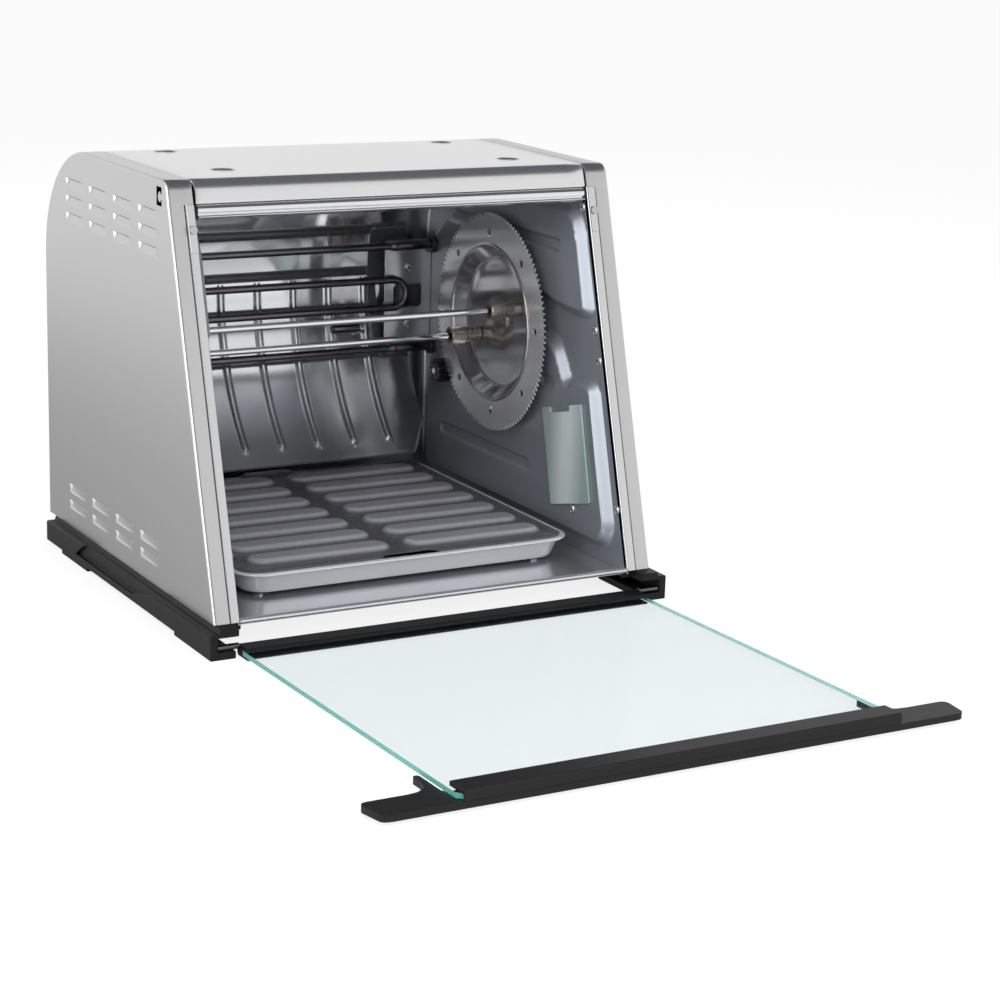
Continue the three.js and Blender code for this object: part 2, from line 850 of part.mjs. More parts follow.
function reflector() {
  const half = reflectorWidth / 2;
  const top = ceilingHeight - gap;
  const outerRadius = reflectorRadius + sheet;
  let piece = prismX(
    arcBand(reflectorRadius, outerRadius, reflectorFoot, top), -half, half, reflectorCurve);
  for (let rib = 0; rib < ribCount; rib += 1) {
    const x = (rib - (ribCount - 1) / 2) * ribPitch;
    const band = arcBand(reflectorRadius - ribRise, reflectorRadius + sheet / 2,
      reflectorFoot + ribEndInset, top - ribEndInset);
    piece = piece.add(prismX(band, x - ribWidth / 2, x + ribWidth / 2, reflectorCurve));
  }
  for (const side of [-1, 1]) {
    const corner = polygon([
      [side * (half - reflectorCornerAcross), reflectorFoot - overrun],
      [side * (half - reflectorCornerAcross), reflectorFoot],
      [side * half, reflectorFoot + reflectorCornerUp],
      [side * (half + overrun), reflectorFoot + reflectorCornerUp],
      [side * (half + overrun), reflectorFoot - overrun],
    ]);
    piece = piece.subtract(prismY(corner, 0, housingDepth));
  }
  return piece.intersect(insideHousing);
}

addPiece('reflector', reflector(), polishedSteel);

// Floor pan with a rolled hem at the front and a flange at the back

const floorTop = wallBottom + sheet;

function floorPan() {
  const hemTop = wallBottom + hemHeight;
  const section = polygon([
    [0, wallBottom], [0, hemTop], [hemDepth, hemTop], [hemDepth, floorTop],
    [backInner - sheet, floorTop], [backInner - sheet, floorTop + floorBackRise],
    [backInner, floorTop + floorBackRise], [backInner, wallBottom],
  ]);
  return prismX(section, -liningHalf, liningHalf);
}

addPiece('floor_pan', floorPan(), floorSteel);

// Base rails: a skirt, a ledge under the housing and a channel for the door pins

const skirtOuter = halfWidth + skirtOverhang;
const skirtRearY = housingDepth - skirtRearInset;
const ledgeTop = wallBottom - gap;
const lipTop = hingeZ - pinRadius - gap;

function baseRail() {
  const channelOuter = skirtOuter - skirtWall;
  const section = polygon([
    [skirtOuter, lipTop - channelLipThickness], [skirtOuter, skirtTop - sheet], [skirtOuter - sheet, skirtTop],
    [halfWidth + sheet, skirtTop], [halfWidth, housingBottom - gap],
    [openingHalf + sheet + seam, housingBottom - gap], [openingHalf + sheet + seam, ledgeTop],
    [ledgeInner, ledgeTop], [ledgeInner, ledgeTop - ledgeThickness],
    [channelOuter, ledgeTop - ledgeThickness], [channelOuter, lipTop],
    [channelLipInner, lipTop], [channelLipInner, lipTop - channelLipThickness],
  ]);
  let rail = prismY(section, -skirtFront, skirtRearY);
  const feet = [[-skirtFront, frontFootLength], [housingDepth - rearFootInset, rearFootLength]];
  const railFoot = lipTop - channelLipThickness;
  for (const [startY, length] of feet) {
    rail = rail.add(block(
      channelLipInner, skirtOuter, startY, startY + length, railFoot - footDepth, railFoot + sheet));
  }
  rail = rail.subtract(block(
    0, glassHalfWidth + barEndRoom, -skirtFront - overrun, hemDepth, 0, housingTop));
  const grip = polygon([
    [gripFrontY, skirtTop + overrun], [gripFrontY, skirtTop], [gripFrontY + gripFrontRun, gripFloor],
    [gripRearY, gripFloor], [gripRearY - gripRearRun, skirtTop], [gripRearY - gripRearRun, skirtTop + overrun],
  ]);
  return rail.subtract(prismX(grip, skirtOuter - gripDepth, skirtOuter + overrun));
}

const rail = baseRail();
addPiece('right_base_rail', rail, blackPlastic);
addPiece('left_base_rail', mirrorAcross(toGeometry(rail)), blackPlastic);
addPiece('rear_base_rail', block(
  -ledgeInner + gap, ledgeInner - gap, skirtRearY - rearRailDepth, skirtRearY,
  rearRailBottom, ledgeTop), blackPlastic);

// Door catch plates with a stud

const catchTop = railAlong - gap;

function catchPlate() {
  const band = slopeBand(catchTop - catchHeight, catchTop, -gap - sheet, -gap);
  return prismX(band, openingHalf + catchInset, stripOuter - catchInset);
}

function catchStud() {
  const stud = new THREE.CylinderGeometry(studRadius, studRadius, studHeight, roundSides);
  const [y, z] = slopePoint(catchTop - studDrop, -gap - sheet - gap - studHeight / 2);
  stud.rotateX(Math.atan2(-frontLean, slopeRise));
  stud.translate((openingHalf + stripOuter) / 2, y, z);
  return toSolid(stud);
}

const plate = catchPlate();
const stud = catchStud();
addPiece('right_catch_plate', plate, brushedSteel);
addPiece('left_catch_plate', mirrorAcross(toGeometry(plate)), brushedSteel);
addPiece('right_catch_stud', stud, brushedSteel);
addPiece('left_catch_stud', mirrorAcross(toGeometry(stud)), brushedSteel);

// Heating element: one tube in four runs, with thick cold ends at the right wall

// A path that has points only where it bends.
class BentPath extends THREE.Curve {
  constructor(points, tangents) {
    super();
    this.points = points;
    this.tangents = tangents;
  }

  getPointAt(share) {
    return this.points[Math.round(share * (this.points.length - 1))].clone();
  }

  getTangentAt(share) {
    return this.tangents[Math.round(share * (this.points.length - 1))].clone();
  }
}

const terminalFace = crest - gap - terminalThickness;

function elementPath() {
  const points = [];
  const tangents = [];
  const put = (x, z, alongX, alongZ) => {
    points.push(new THREE.Vector3(x, elementY, z));
    tangents.push(new THREE.Vector3(alongX, 0, alongZ).normalize());
  };
  let direction = -1;
  put(terminalFace - gap, elementTop, direction, 0);
  for (let bend = 0; bend + 1 < elementHeights.length; bend += 1) {
    const radius = (elementHeights[bend] - elementHeights[bend + 1]) / 2;
    const middle = (elementHeights[bend] + elementHeights[bend + 1]) / 2;
    for (let step = 0; step <= bendSteps; step += 1) {
      const angle = Math.PI * step / bendSteps;
      put(direction * (elementHalfRun + radius * Math.sin(angle)), middle + radius * Math.cos(angle),
        direction * Math.cos(angle), -Math.sin(angle));
    }
    direction = -direction;
  }
  put(terminalFace - gap, elementFoot, direction, 0);
  return new BentPath(points, tangents);
}

function heatingElement() {
  const path = elementPath();
  const tube = new THREE.ExtrudeGeometry(circle(elementRadius, tubeSides), {
    steps: path.points.length - 1, extrudePath: path,
  });
  let element = toSolid(tube);
  for (const z of [elementTop, elementFoot]) {
    element = element.add(rodAlongX(
      crimpRadius, terminalFace - gap - crimpLength, terminalFace - gap, elementY, z, tubeSides));
  }
  return element;
}

addPiece('heating_element', heatingElement(), elementSteel);

function terminal(z) {
  return turnedAlongX([
    [0, terminalFace], [terminalRadius, terminalFace], [terminalRadius, crest - gap],
    [terminalSpigotRadius, crest - gap], [terminalSpigotRadius, crest + terminalSpigotLength],
    [0, crest + terminalSpigotLength],
  ], elementY, z, tubeSides * 2);
}

addPiece('upper_element_terminal', terminal(elementTop), ceramic);
addPiece('lower_element_terminal', terminal(elementFoot), ceramic);

function elementBracket() {
  const front = elementY + elementRadius + gap;
  const inner = crest - gap - bracketWidth;
  const outer = crest - gap;
  const low = elementFoot - crimpRadius;
  const high = elementTop + crimpRadius;
  const notch = terminalFace - gap;
  const notchFoot = elementFoot + terminalRadius + gap;
  const notchTop = elementTop - terminalRadius - gap;
  const outline = roundedPolygon([
    [inner, low], [notch, low], [notch, notchFoot], [outer, notchFoot],
    [outer, notchTop], [notch, notchTop], [notch, high], [inner, high],
  ], bracketEdge / 2);
  const middle = (high + low) / 2;
  const window = roundedRectangle((outer - inner) / 2 - bracketEdge, bracketWindowHeight / 2,
    bracketEdge / 2, (outer + inner) / 2, middle);
  outline.holes.push(window);
  for (const z of [(middle + high) / 2, (middle + low) / 2]) {
    outline.holes.push(circle(bracketHoleRadius, holeSides, (outer + inner) / 2, z));
  }
  const crimpClearance = crimpRadius - elementRadius;
  return prismY(outline, front + crimpClearance, front + crimpClearance + bracketThickness);
}

const bracket = elementBracket();
addPiece('right_element_bracket', bracket, bracketSteel);
addPiece('left_element_bracket', mirrorAcross(toGeometry(bracket)), bracketSteel);

const probeStandOff = Math.max(probeCollarRadius, ribRise + probeRadius) + gap;
const probeY = reflectorY(probeZ, reflectorRadius) - probeStandOff;
addPiece('thermostat_probe', turnedAlongX([
  [0, probeX], [probeRadius, probeX], [probeRadius, probeX + probeLength - probeCollarLength],
  [probeCollarRadius, probeX + probeLength - probeCollarLength],
  [probeCollarRadius, probeX + probeLength], [0, probeX + probeLength],
], probeY, probeZ, tubeSides * 2), elementSteel);

// Oven lamp behind a glass pane in the right wall

const paneBack = crest - gap;
addPiece('lamp_window', lampBlock(
  paneBack - paneThickness, paneBack, lampWidth / 2, lampHeight / 2), lampGlassFinish);

const troughFront = crest + sheet + gap;
const troughHalf = lampWidth / 2 - lampBorder / 2;
const troughLong = lampHeight / 2 - lampBorder;

function lampTrough() {
  const outer = new THREE.Shape();
  outer.moveTo(troughFront, lampY - troughHalf);
  outer.quadraticCurveTo(
    troughFront + 2 * troughDepth, lampY, troughFront, lampY + troughHalf);
  outer.lineTo(troughFront, lampY + troughHalf - sheet);
  outer.quadraticCurveTo(
    troughFront + 2 * (troughDepth - sheet), lampY, troughFront, lampY - troughHalf + sheet);
  outer.closePath();
  return tiltedAboutLamp(prismZ(outer, lampZ - troughLong, lampZ + troughLong, profileCurve));
}

addPiece('lamp_reflector', lampTrough(), polishedSteel);

const bulbX = troughFront + bulbRadius;
const holderTop = lampZ - troughLong - gap;
addPiece('lamp_holder', tiltedAboutLamp(rodAlongZ(
  bulbRadius, holderTop - holderHeight, holderTop, bulbX, lampY)), ceramic);

function lampBulb() {
  const tip = bulbLength - bulbRadius;
  const points = [new THREE.Vector2(0, 0), new THREE.Vector2(bulbRadius, bulbRadius)];
  for (let step = 0; step <= cornerSteps; step += 1) {
    const angle = Math.PI / 2 * step / cornerSteps;
    points.push(new THREE.Vector2(bulbRadius * Math.cos(angle), tip + bulbRadius * Math.sin(angle)));
  }
  const geometry = new THREE.LatheGeometry(points, roundSides);
  geometry.rotateX(Math.PI / 2);
  geometry.translate(bulbX, lampY, holderTop + gap);
  return tiltedAboutLamp(toSolid(geometry));
}

addPiece('lamp_bulb', lampBulb(), lampGlassFinish);

// Spit: two toothed and dished wheels, two rods and four stepped sleeves

const tipRadius = gearModule * wheelTeeth / 2 + gearModule;
const wheelRootRadius = tipRadius - wheelToothDepth;

function toothedOutline(teeth, phase, toothPoints) {
  const points = [];
  for (let tooth = 0; tooth < teeth; tooth += 1) {
    const centre = phase + 2 * Math.PI * tooth / teeth;
    for (const [radius, offset] of toothPoints) {
      const angle = centre + offset / radius;
      points.push([radius * Math.cos(angle), radius * Math.sin(angle)]);
    }
  }
  return points;
}

function spitWheel() {
  const rootHalf = toothFootShare * Math.PI * wheelRootRadius / wheelTeeth;
  const teeth = toothedOutline(wheelTeeth, degrees(pinionAngle), [
    [wheelRootRadius, -rootHalf], [tipRadius, 0], [wheelRootRadius, rootHalf],
  ]);
  const disc = polygon(teeth.map(([u, v]) => [wheelY + u, wheelZ + v]));
  disc.holes.push(circle(dishRadius - sheet / 2, wheelSides, wheelY, wheelZ));
  for (let hole = 0; hole < ringHoleCount; hole += 1) {
    const angle = degrees(rodAngle) + 2 * Math.PI * (hole + 1 / 2) / ringHoleCount;
    disc.holes.push(circle(ringHoleRadius, holeSides,
      wheelY + ringHoleCircle * Math.cos(angle), wheelZ + ringHoleCircle * Math.sin(angle)));
  }
  const back = wheelHalfSpan + wheelThickness;
  const ring = prismX(disc, wheelHalfSpan, back);
  const floorFace = wheelHalfSpan + dishDepth;
  const floorBack = floorFace + wheelThickness;
  const hubEnd = openingHalf - gap;
  const dish = turnedAlongX([
    [0, floorFace], [dishFloorRadius, floorFace],
    [dishRadius, wheelHalfSpan],
    [dishRadius + wheelThickness, wheelHalfSpan], [dishRadius + wheelThickness, back],
    [dishFloorRadius + wheelThickness, floorBack], [hubRadius, floorBack],
    [hubRadius, hubEnd], [0, hubEnd],
  ], wheelY, wheelZ, wheelSides);
  return ring.add(dish);
}

const rightWheel = spitWheel();
addPiece('right_spit_wheel', rightWheel, wheelSteel);
addPiece('left_spit_wheel', mirrorAcross(toGeometry(rightWheel)), wheelSteel);

const rods = [['front', 1], ['rear', -1]];
const sleeveBase = wheelHalfSpan + dishDepth - gap;
for (const [place, sign] of rods) {
  const y = wheelY + sign * rodCircle * Math.cos(degrees(rodAngle));
  const z = wheelZ + sign * rodCircle * Math.sin(degrees(rodAngle));
  const rodEnd = sleeveBase - sleeveLength + sleeveBoreDepth - gap;
  addPiece(`${place}_spit_rod`, rodAlongX(rodRadius, -rodEnd, rodEnd, y, z, tubeSides * 2), rodSteel);
  const mouth = sleeveBase - sleeveLength;
  const sleeve = turnedAlongX([
    [rodRadius + gap, mouth], [collarRadius, mouth], [collarRadius, mouth + collarLength],
    [sleeveRadius, mouth + collarLength], [sleeveRadius, sleeveBase], [0, sleeveBase],
    [0, mouth + sleeveBoreDepth], [rodRadius + gap, mouth + sleeveBoreDepth],
    [rodRadius + gap, mouth],
  ], y, z, tubeSides * 2);
  addPiece(`right_${place}_sleeve`, sleeve, sleeveSteel);
  addPiece(`left_${place}_sleeve`, mirrorAcross(toGeometry(sleeve)), sleeveSteel);
}

// Bushes on the wheel hubs, and the seats in the walls that they drop into.
// The seats open along the channel, forwards and a little up.

const bushOuter = openingHalf - gap;
const bush = rodAlongX(bushRadius, bushOuter - bushLength, bushOuter, wheelY, wheelZ).subtract(
  rodAlongX(hubRadius + gap, bushOuter - overrun - bushLength, bushOuter + overrun, wheelY, wheelZ));
addPiece('right_spit_bush', bush, sleeveSteel);
addPiece('left_spit_bush', mirrorAcross(toGeometry(bush)), sleeveSteel);

function wheelSeat() {
  const inner = bushRadius + gap;
  const outer = inner + seatWall;
  const body = new THREE.Shape();
  body.moveTo(wheelY - seatReach, wheelZ + outer);
  body.lineTo(wheelY, wheelZ + outer);
  body.absarc(wheelY, wheelZ, outer, Math.PI / 2, -Math.PI / 2, true);
  body.lineTo(wheelY - seatReach, wheelZ - outer);
  body.lineTo(wheelY - seatReach, wheelZ - inner);
  body.lineTo(wheelY, wheelZ - inner);
  body.absarc(wheelY, wheelZ, inner, -Math.PI / 2, Math.PI / 2);
  body.lineTo(wheelY - seatReach, wheelZ + inner);
  body.closePath();
  const level = prismX(body, bushOuter - bushLength, bushOuter, { curveSegments: roundSides / 2 });
  const geometry = toGeometry(level);
  geometry.translate(0, -wheelY, -wheelZ);
  geometry.rotateX(-degrees(liftAngle));
  geometry.translate(0, wheelY, wheelZ);
  return toSolid(geometry);
}

const seat = wheelSeat();
addPiece('right_wheel_seat', seat, bracketSteel);
addPiece('left_wheel_seat', mirrorAcross(toGeometry(seat)), bracketSteel);

// Drive pinion on the motor shaft, and the gear motor behind the wall

const pinionPitchRadius = gearModule * pinionTeeth / 2;
const pinionEnd = crest - gap;

function drivePinion() {
  const phase = degrees(pinionAngle) + Math.PI + Math.PI / pinionTeeth;
  const points = toothedOutline(pinionTeeth, phase, [
    [pinionPitchRadius - pinionToothDrop, -pinionRootHalf],
    [pinionPitchRadius + pinionToothRise, -pinionTipHalf],
    [pinionPitchRadius + pinionToothRise, pinionTipHalf],
    [pinionPitchRadius - pinionToothDrop, pinionRootHalf],
  ]);
  const outline = polygon(points.map(([u, v]) => [pinionY + u, pinionZ + v]));
  outline.holes.push(circle(shaftRadius + gap, tubeSides, pinionY, pinionZ));
  return prismX(outline, pinionEnd - pinionLength, pinionEnd);
}

addPiece('drive_pinion', drivePinion(), pinionPlastic);
const motorFace = wallBack + gap;
addPiece('motor_shaft', rodAlongX(shaftRadius, pinionEnd - pinionLength - shaftEndReach,
  motorFace - gap, pinionY, pinionZ), rodSteel);
addPiece('gear_motor', prismX(
  roundedRectangle(motorLength / 2, motorHeight / 2, bracketEdge, pinionY, pinionZ),
  motorFace, innerFace - gap), motorSteel);

// Timer and mode switch behind the right cover, with their knobs outside

function controlBody(size, y, z) {
  const outline = roundedRectangle(size / 2, size / 2, bracketEdge / 2, y, z);
  return prismX(outline, motorFace, innerFace - gap);
}

addPiece('timer_body', controlBody(timerBodySize, timerY, timerZ), motorSteel);
addPiece('mode_switch_body', controlBody(modeBodySize, modeY, modeZ), motorSteel);

function controlKnob(y, z) {
  const base = halfWidth + gap;
  const skirt = turnedAlongX([
    [0, base], [knobSkirtRadius, base], [knobSkirtRadius, base + knobSkirtHeight / 2],
    [knobRadius, base + knobSkirtHeight], [0, base + knobSkirtHeight],
  ], y, z, wheelSides);
  const grip = prismX(
    roundedRectangle(knobGripWidth / 2, knobRadius, knobGripWidth / 2, y, z),
    base + knobSkirtHeight / 2, base + knobHeight);
  const shaft = rodAlongX(knobShaftRadius, innerFace, base + knobSkirtHeight / 2, y, z);
  return skirt.add(grip).add(shaft);
}

addPiece('timer_knob', controlKnob(timerY, timerZ), blackPlastic);
addPiece('mode_knob', controlKnob(modeY, modeZ), blackPlastic);

// Cord gland in the back cover

function cordGland() {
  const outside = housingDepth + gap;
  const inside = housingDepth - sheet - gap;
  const rim = rodAlongY(glandRadius, outside, outside + glandReach, glandX, glandZ);
  const neck = rodAlongY(glandNeckRadius, inside - glandNutThickness, outside + gap, glandX, glandZ);
  const nut = rodAlongY(glandRadius, inside - glandNutThickness, inside, glandX, glandZ);
  const bore = rodAlongY(
    glandBoreRadius, inside - overrun - glandNutThickness, outside + glandReach + overrun, glandX, glandZ);
  return rim.add(neck).add(nut).subtract(bore);
}

addPiece('cord_gland', cordGland(), blackPlastic);

// Drip tray and its cover

const trayBottom = floorTop + gap + trayFootHeight;
const trayTop = trayBottom + trayDepth;
const trayCentreY = trayFrontY + trayLength / 2;

function dripTray() {
  const halfX = trayWidth / 2;
  const halfY = trayLength / 2;
  const ring = (inset, z) => trayRing(halfX - inset, halfY - inset, trayCorner - inset / 2, trayCentreY, z);
  const wallInset = trayFlange + sheet;
  let tray = loftRings([
    ring(trayFlange + trayTaper, trayBottom), ring(trayFlange, trayTop - sheet),
    ring(0, trayTop - sheet), ring(0, trayTop), ring(wallInset, trayTop),
    ring(wallInset + trayTaper, trayBottom + sheet),
  ]);
  for (const signX of [-1, 1]) {
    for (const signY of [-1, 1]) {
      tray = tray.add(rodAlongZ(trayFootRadius, trayBottom - trayFootHeight, trayBottom + sheet / 2,
        signX * (halfX - trayFootInset), trayCentreY + signY * (halfY - trayFootInset), tubeSides));
    }
  }
  return tray;
}

addPiece('drip_tray', dripTray(), traySteel);

// A pressed ridge: a long form with sloped sides and ends.
function ridgeForm(centreX, centreY, baseZ) {
  const ring = (insetX, insetY, z) => {
    const halfX = ridgeLength / 2 - insetX;
    const halfY = ridgeWidth / 2 - insetY;
    return [
      [centreX + halfX, centreY + halfY, z], [centreX - halfX, centreY + halfY, z],
      [centreX - halfX, centreY - halfY, z], [centreX + halfX, centreY - halfY, z],
    ];
  };
  return loftRings([
    ring(0, 0, baseZ), ring(ridgeSlopeAlong, ridgeSlopeAcross, baseZ + ridgeHeight),
  ]);
}

function trayCover() {
  const low = trayTop + gap;
  const halfX = trayWidth / 2 - coverInset;
  const halfY = trayLength / 2 - coverInset;
  const corner = trayCorner - coverInset;
  const flat = roundedRectangle(halfX, halfY, corner, 0, trayCentreY);
  let cover = prismZ(flat, low, low + sheet);
  const notchHalf = notchWidth / 2;
  const front = trayCentreY - halfY;
  const rear = trayCentreY + halfY;
  cover = cover.subtract(prismZ(polygon([
    [-notchHalf, front - overrun], [-notchHalf, front], [-notchHalf + notchDepth, front + notchDepth],
    [notchHalf - notchDepth, front + notchDepth], [notchHalf, front], [notchHalf, front - overrun],
  ]), low - overrun, low + overrun));
  const tab = coverInset - gap;
  cover = cover.add(prismZ(polygon([
    [-notchHalf, rear - overrun], [-notchHalf, rear], [-notchHalf + tab, rear + tab],
    [notchHalf - tab, rear + tab], [notchHalf, rear], [notchHalf, rear - overrun],
  ]), low, low + sheet));
  const ridges = [];
  const hollows = [];
  const centreX = ridgeStripHalf + ridgeLength / 2;
  for (let row = 0; row < ridgeRows; row += 1) {
    const y = trayCentreY + (row - (ridgeRows - 1) / 2) * ridgePitch;
    for (const side of [-1, 1]) {
      ridges.push(ridgeForm(side * centreX, y, low + sheet / 2));
      hollows.push(ridgeForm(side * centreX, y, low - sheet / 2));
    }
  }
  return cover.add(joined(ridges)).subtract(joined(hollows));
}

addPiece('tray_cover', trayCover(), coverCoat);

// Door, drawn flat with its run along -Y from the hinge axis, then laid on the table

const padBottom = -glassTopDrop - glassThickness - gap - earThickness - earPadHeight;
const padRun = earStart + earPadInset;
const restAngle = Math.asin((tableClearance - hingeZ - padBottom) / padRun);
const door = new THREE.Group();
door.position.set(0, hingeY, hingeZ);
door.rotation.x = -restAngle;
oven.add(door);

const glassTop = -glassTopDrop;
const glassBottom = glassTop - glassThickness;

function doorGlass() {
  const outline = polygon([
    [-glassHalfWidth, -glassStart], [-glassHalfWidth, -glassEnd + glassChamfer],
    [-glassHalfWidth + glassChamfer, -glassEnd], [glassHalfWidth - glassChamfer, -glassEnd],
    [glassHalfWidth, -glassEnd + glassChamfer], [glassHalfWidth, -glassStart],
  ]);
  return prismZ(outline, glassBottom, glassTop);
}

addPiece('door_glass', doorGlass(), doorGlassFinish, door);

function hingeBar() {
  const top = hingeBarRise;
  const bottom = glassBottom - gap - hingeBarWall;
  const slotTop = glassTop + gap;
  const slotBottom = glassBottom - gap;
  const section = polygon([
    [hingeBarBack, bottom + hingeBarChamfer], [hingeBarBack, top - hingeBarChamfer],
    [hingeBarBack - hingeBarChamfer, top], [-hingeBarFront + hingeBarChamfer, top],
    [-hingeBarFront, slotTop + hingeBarWall], [-hingeBarFront, slotTop],
    [-glassStart + gap, slotTop], [-glassStart + gap, slotBottom],
    [-hingeBarFront, slotBottom], [-hingeBarFront, bottom],
    [hingeBarBack - hingeBarChamfer, bottom],
  ]);
  return prismX(section, -glassHalfWidth, glassHalfWidth);
}

addPiece('hinge_bar', hingeBar(), blackPlastic, door);
const pinReach = skirtOuter - skirtWall - seam - gap;
const pin = rodAlongX(pinRadius, glassHalfWidth + gap, pinReach, 0, 0);
addPiece('right_hinge_pin', pin, brushedSteel, door);
addPiece('left_hinge_pin', mirrorAcross(toGeometry(pin)), brushedSteel, door);

function topBar() {
  const low = glassTop + gap;
  const high = low + topBarThickness;
  const lip = glassEnd + gap;
  const section = polygon([
    [-topBarStart, low], [-topBarStart, high - sheet], [-topBarStart - sheet, high],
    [-topBarEnd + sheet, high], [-topBarEnd, high - sheet], [-topBarEnd, glassBottom],
    [-lip, glassBottom], [-lip, low],
  ]);
  return prismX(section, -topBarHalfWidth, topBarHalfWidth);
}

addPiece('handle_top_bar', topBar(), blackHandle, door);

// Lower handle bar: a strip under the glass edge, an ear beyond each side of
// the glass with a hollow curve towards it, and a prong along the glass.
function lowerBar() {
  const high = glassBottom - gap;
  const low = high - earThickness;
  const half = new THREE.Shape();
  const prongInner = glassHalfWidth + sheet;
  const prongOuter = prongInner + prongWidth;
  half.moveTo(0, -topBarStart);
  half.lineTo(prongInner - prongWidth, -topBarStart);
  half.lineTo(prongInner, -topBarStart + prongWidth);
  half.lineTo(prongInner, -prongTip - prongWidth / 2);
  half.absarc((prongInner + prongOuter) / 2, -prongTip - prongWidth / 2, prongWidth / 2, Math.PI, 0, true);
  half.lineTo(prongOuter, -earStart + prongFillet);
  half.quadraticCurveTo(prongOuter, -earStart, prongOuter + prongFillet, -earStart);
  half.lineTo(earHalfSpan - earCorner, -earStart);
  half.quadraticCurveTo(earHalfSpan, -earStart, earHalfSpan, -earStart - earCorner);
  half.lineTo(earHalfSpan - earCorner / 2, -earEnd + earCorner);
  half.quadraticCurveTo(earHalfSpan - earCorner / 2, -earEnd, earHalfSpan - 2 * earCorner, -earEnd);
  half.lineTo(0, -earEnd);
  half.closePath();
  const right = toGeometry(prismZ(half, low, high));
  let bar = toSolid(right).add(toSolid(mirrorAcross(right)));
  for (const side of [-1, 1]) {
    bar = bar.add(rodAlongZ(earPadRadius, low - earPadHeight, low + sheet,
      side * (earHalfSpan - earPadInset), -padRun, tubeSides));
  }
  return bar;
}

addPiece('handle_lower_bar', lowerBar(), blackHandle, door);

// Move the oven so that the footprint, door and gland included, is centred in Y.
const frontReach = hingeY - topBarEnd * Math.cos(restAngle) - (glassTopDrop + glassThickness) * Math.sin(restAngle);
const rearReach = housingDepth + gap + glandReach;
oven.position.y = -(frontReach + rearReach) / 2;

export default oven;
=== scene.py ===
import json
import math
import bmesh
import bpy
import numpy as np
from mathutils import Matrix, Vector
from mathutils.geometry import delaunay_2d_cdt

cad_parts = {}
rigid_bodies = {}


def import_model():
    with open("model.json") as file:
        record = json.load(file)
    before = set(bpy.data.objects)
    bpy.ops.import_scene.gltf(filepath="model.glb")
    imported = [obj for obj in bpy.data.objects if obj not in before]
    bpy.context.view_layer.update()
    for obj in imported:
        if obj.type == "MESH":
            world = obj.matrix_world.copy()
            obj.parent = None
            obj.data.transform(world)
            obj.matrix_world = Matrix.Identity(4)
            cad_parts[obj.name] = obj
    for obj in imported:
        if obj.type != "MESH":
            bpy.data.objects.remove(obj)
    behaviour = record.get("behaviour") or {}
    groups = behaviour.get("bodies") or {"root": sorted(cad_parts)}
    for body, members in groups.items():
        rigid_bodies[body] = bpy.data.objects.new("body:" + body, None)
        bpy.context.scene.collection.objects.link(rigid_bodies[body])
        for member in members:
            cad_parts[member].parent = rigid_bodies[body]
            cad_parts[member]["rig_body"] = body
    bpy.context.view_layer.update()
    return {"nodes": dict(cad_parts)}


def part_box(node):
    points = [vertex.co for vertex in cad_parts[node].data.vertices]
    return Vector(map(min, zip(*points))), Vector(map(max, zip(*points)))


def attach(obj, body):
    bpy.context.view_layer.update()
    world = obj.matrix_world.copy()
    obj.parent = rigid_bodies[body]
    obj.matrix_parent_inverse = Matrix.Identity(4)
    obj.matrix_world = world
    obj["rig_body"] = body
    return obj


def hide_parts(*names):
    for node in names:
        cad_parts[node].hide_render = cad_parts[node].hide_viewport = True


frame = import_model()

# Lengths are in millimetres and angles in degrees. X is to the right, Y to the back, Z up.
# Y counts from the foot of the sloped front, and Z from the table.
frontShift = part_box("left_cover")[0].y * 1000

# The photograph's view: place of the lens, its turns, and its focal length and centre in pixels.
view = {
    "place": (-937.9, -1723.04, 619.7), "yaw": 30.24, "pitch": -15.13, "roll": 1.91,
    "focal": 2523.49, "centre": (515.6, 520.61), "frame": 1000,
}


def setCamera():
    yaw, pitch, roll = (math.radians(view[key]) for key in ("yaw", "pitch", "roll"))
    forward = Vector((math.sin(yaw) * math.cos(pitch), math.cos(yaw) * math.cos(pitch), math.sin(pitch)))
    right = Vector((math.cos(yaw), -math.sin(yaw), 0))
    up = right.cross(forward)
    right, up = right * math.cos(roll) + up * math.sin(roll), up * math.cos(roll) - right * math.sin(roll)
    data = bpy.data.cameras.new("photoCamera")
    data.sensor_width = 36
    data.lens = view["focal"] / view["frame"] * data.sensor_width
    data.shift_x = 0.5 - view["centre"][0] / view["frame"]
    data.shift_y = view["centre"][1] / view["frame"] - 0.5
    data.clip_end = 20
    camera = bpy.data.objects.new("photoCamera", data)
    bpy.context.scene.collection.objects.link(camera)
    place = Vector(view["place"]) + Vector((0, frontShift, 0))
    turn = Matrix((right, up, -forward)).transposed()
    camera.matrix_world = Matrix.Translation(place * 0.001) @ turn.to_4x4()
    bpy.context.scene.camera = camera


setCamera()
bpy.context.scene.view_settings.view_transform = "Standard"
print("camera set")


# Materials

lampMiddle = (92.3, 105.5)  # (y, z) of the lamp's window


def hexToLinear(text):
    # sRGB to linear: c/12.92 below 0.04045, else ((c + 0.055)/1.055) to the power 2.4
    parts = [int(text[i:i + 2], 16) / 255 for i in (1, 3, 5)]
    return tuple(c / 12.92 if c < 0.04045 else ((c + 0.055) / 1.055) ** 2.4 for c in parts) + (1,)


def addNode(tree, kind, inputs=None, **settings):
    # a node with its fields set, and its inputs filled or linked
    node = tree.nodes.new(kind)
    for field, value in settings.items():
        setattr(node, field, value)
    for key, value in (inputs or {}).items():
        if isinstance(value, bpy.types.NodeSocket):
            tree.links.new(value, node.inputs[key])
        else:
            node.inputs[key].default_value = value
    return node


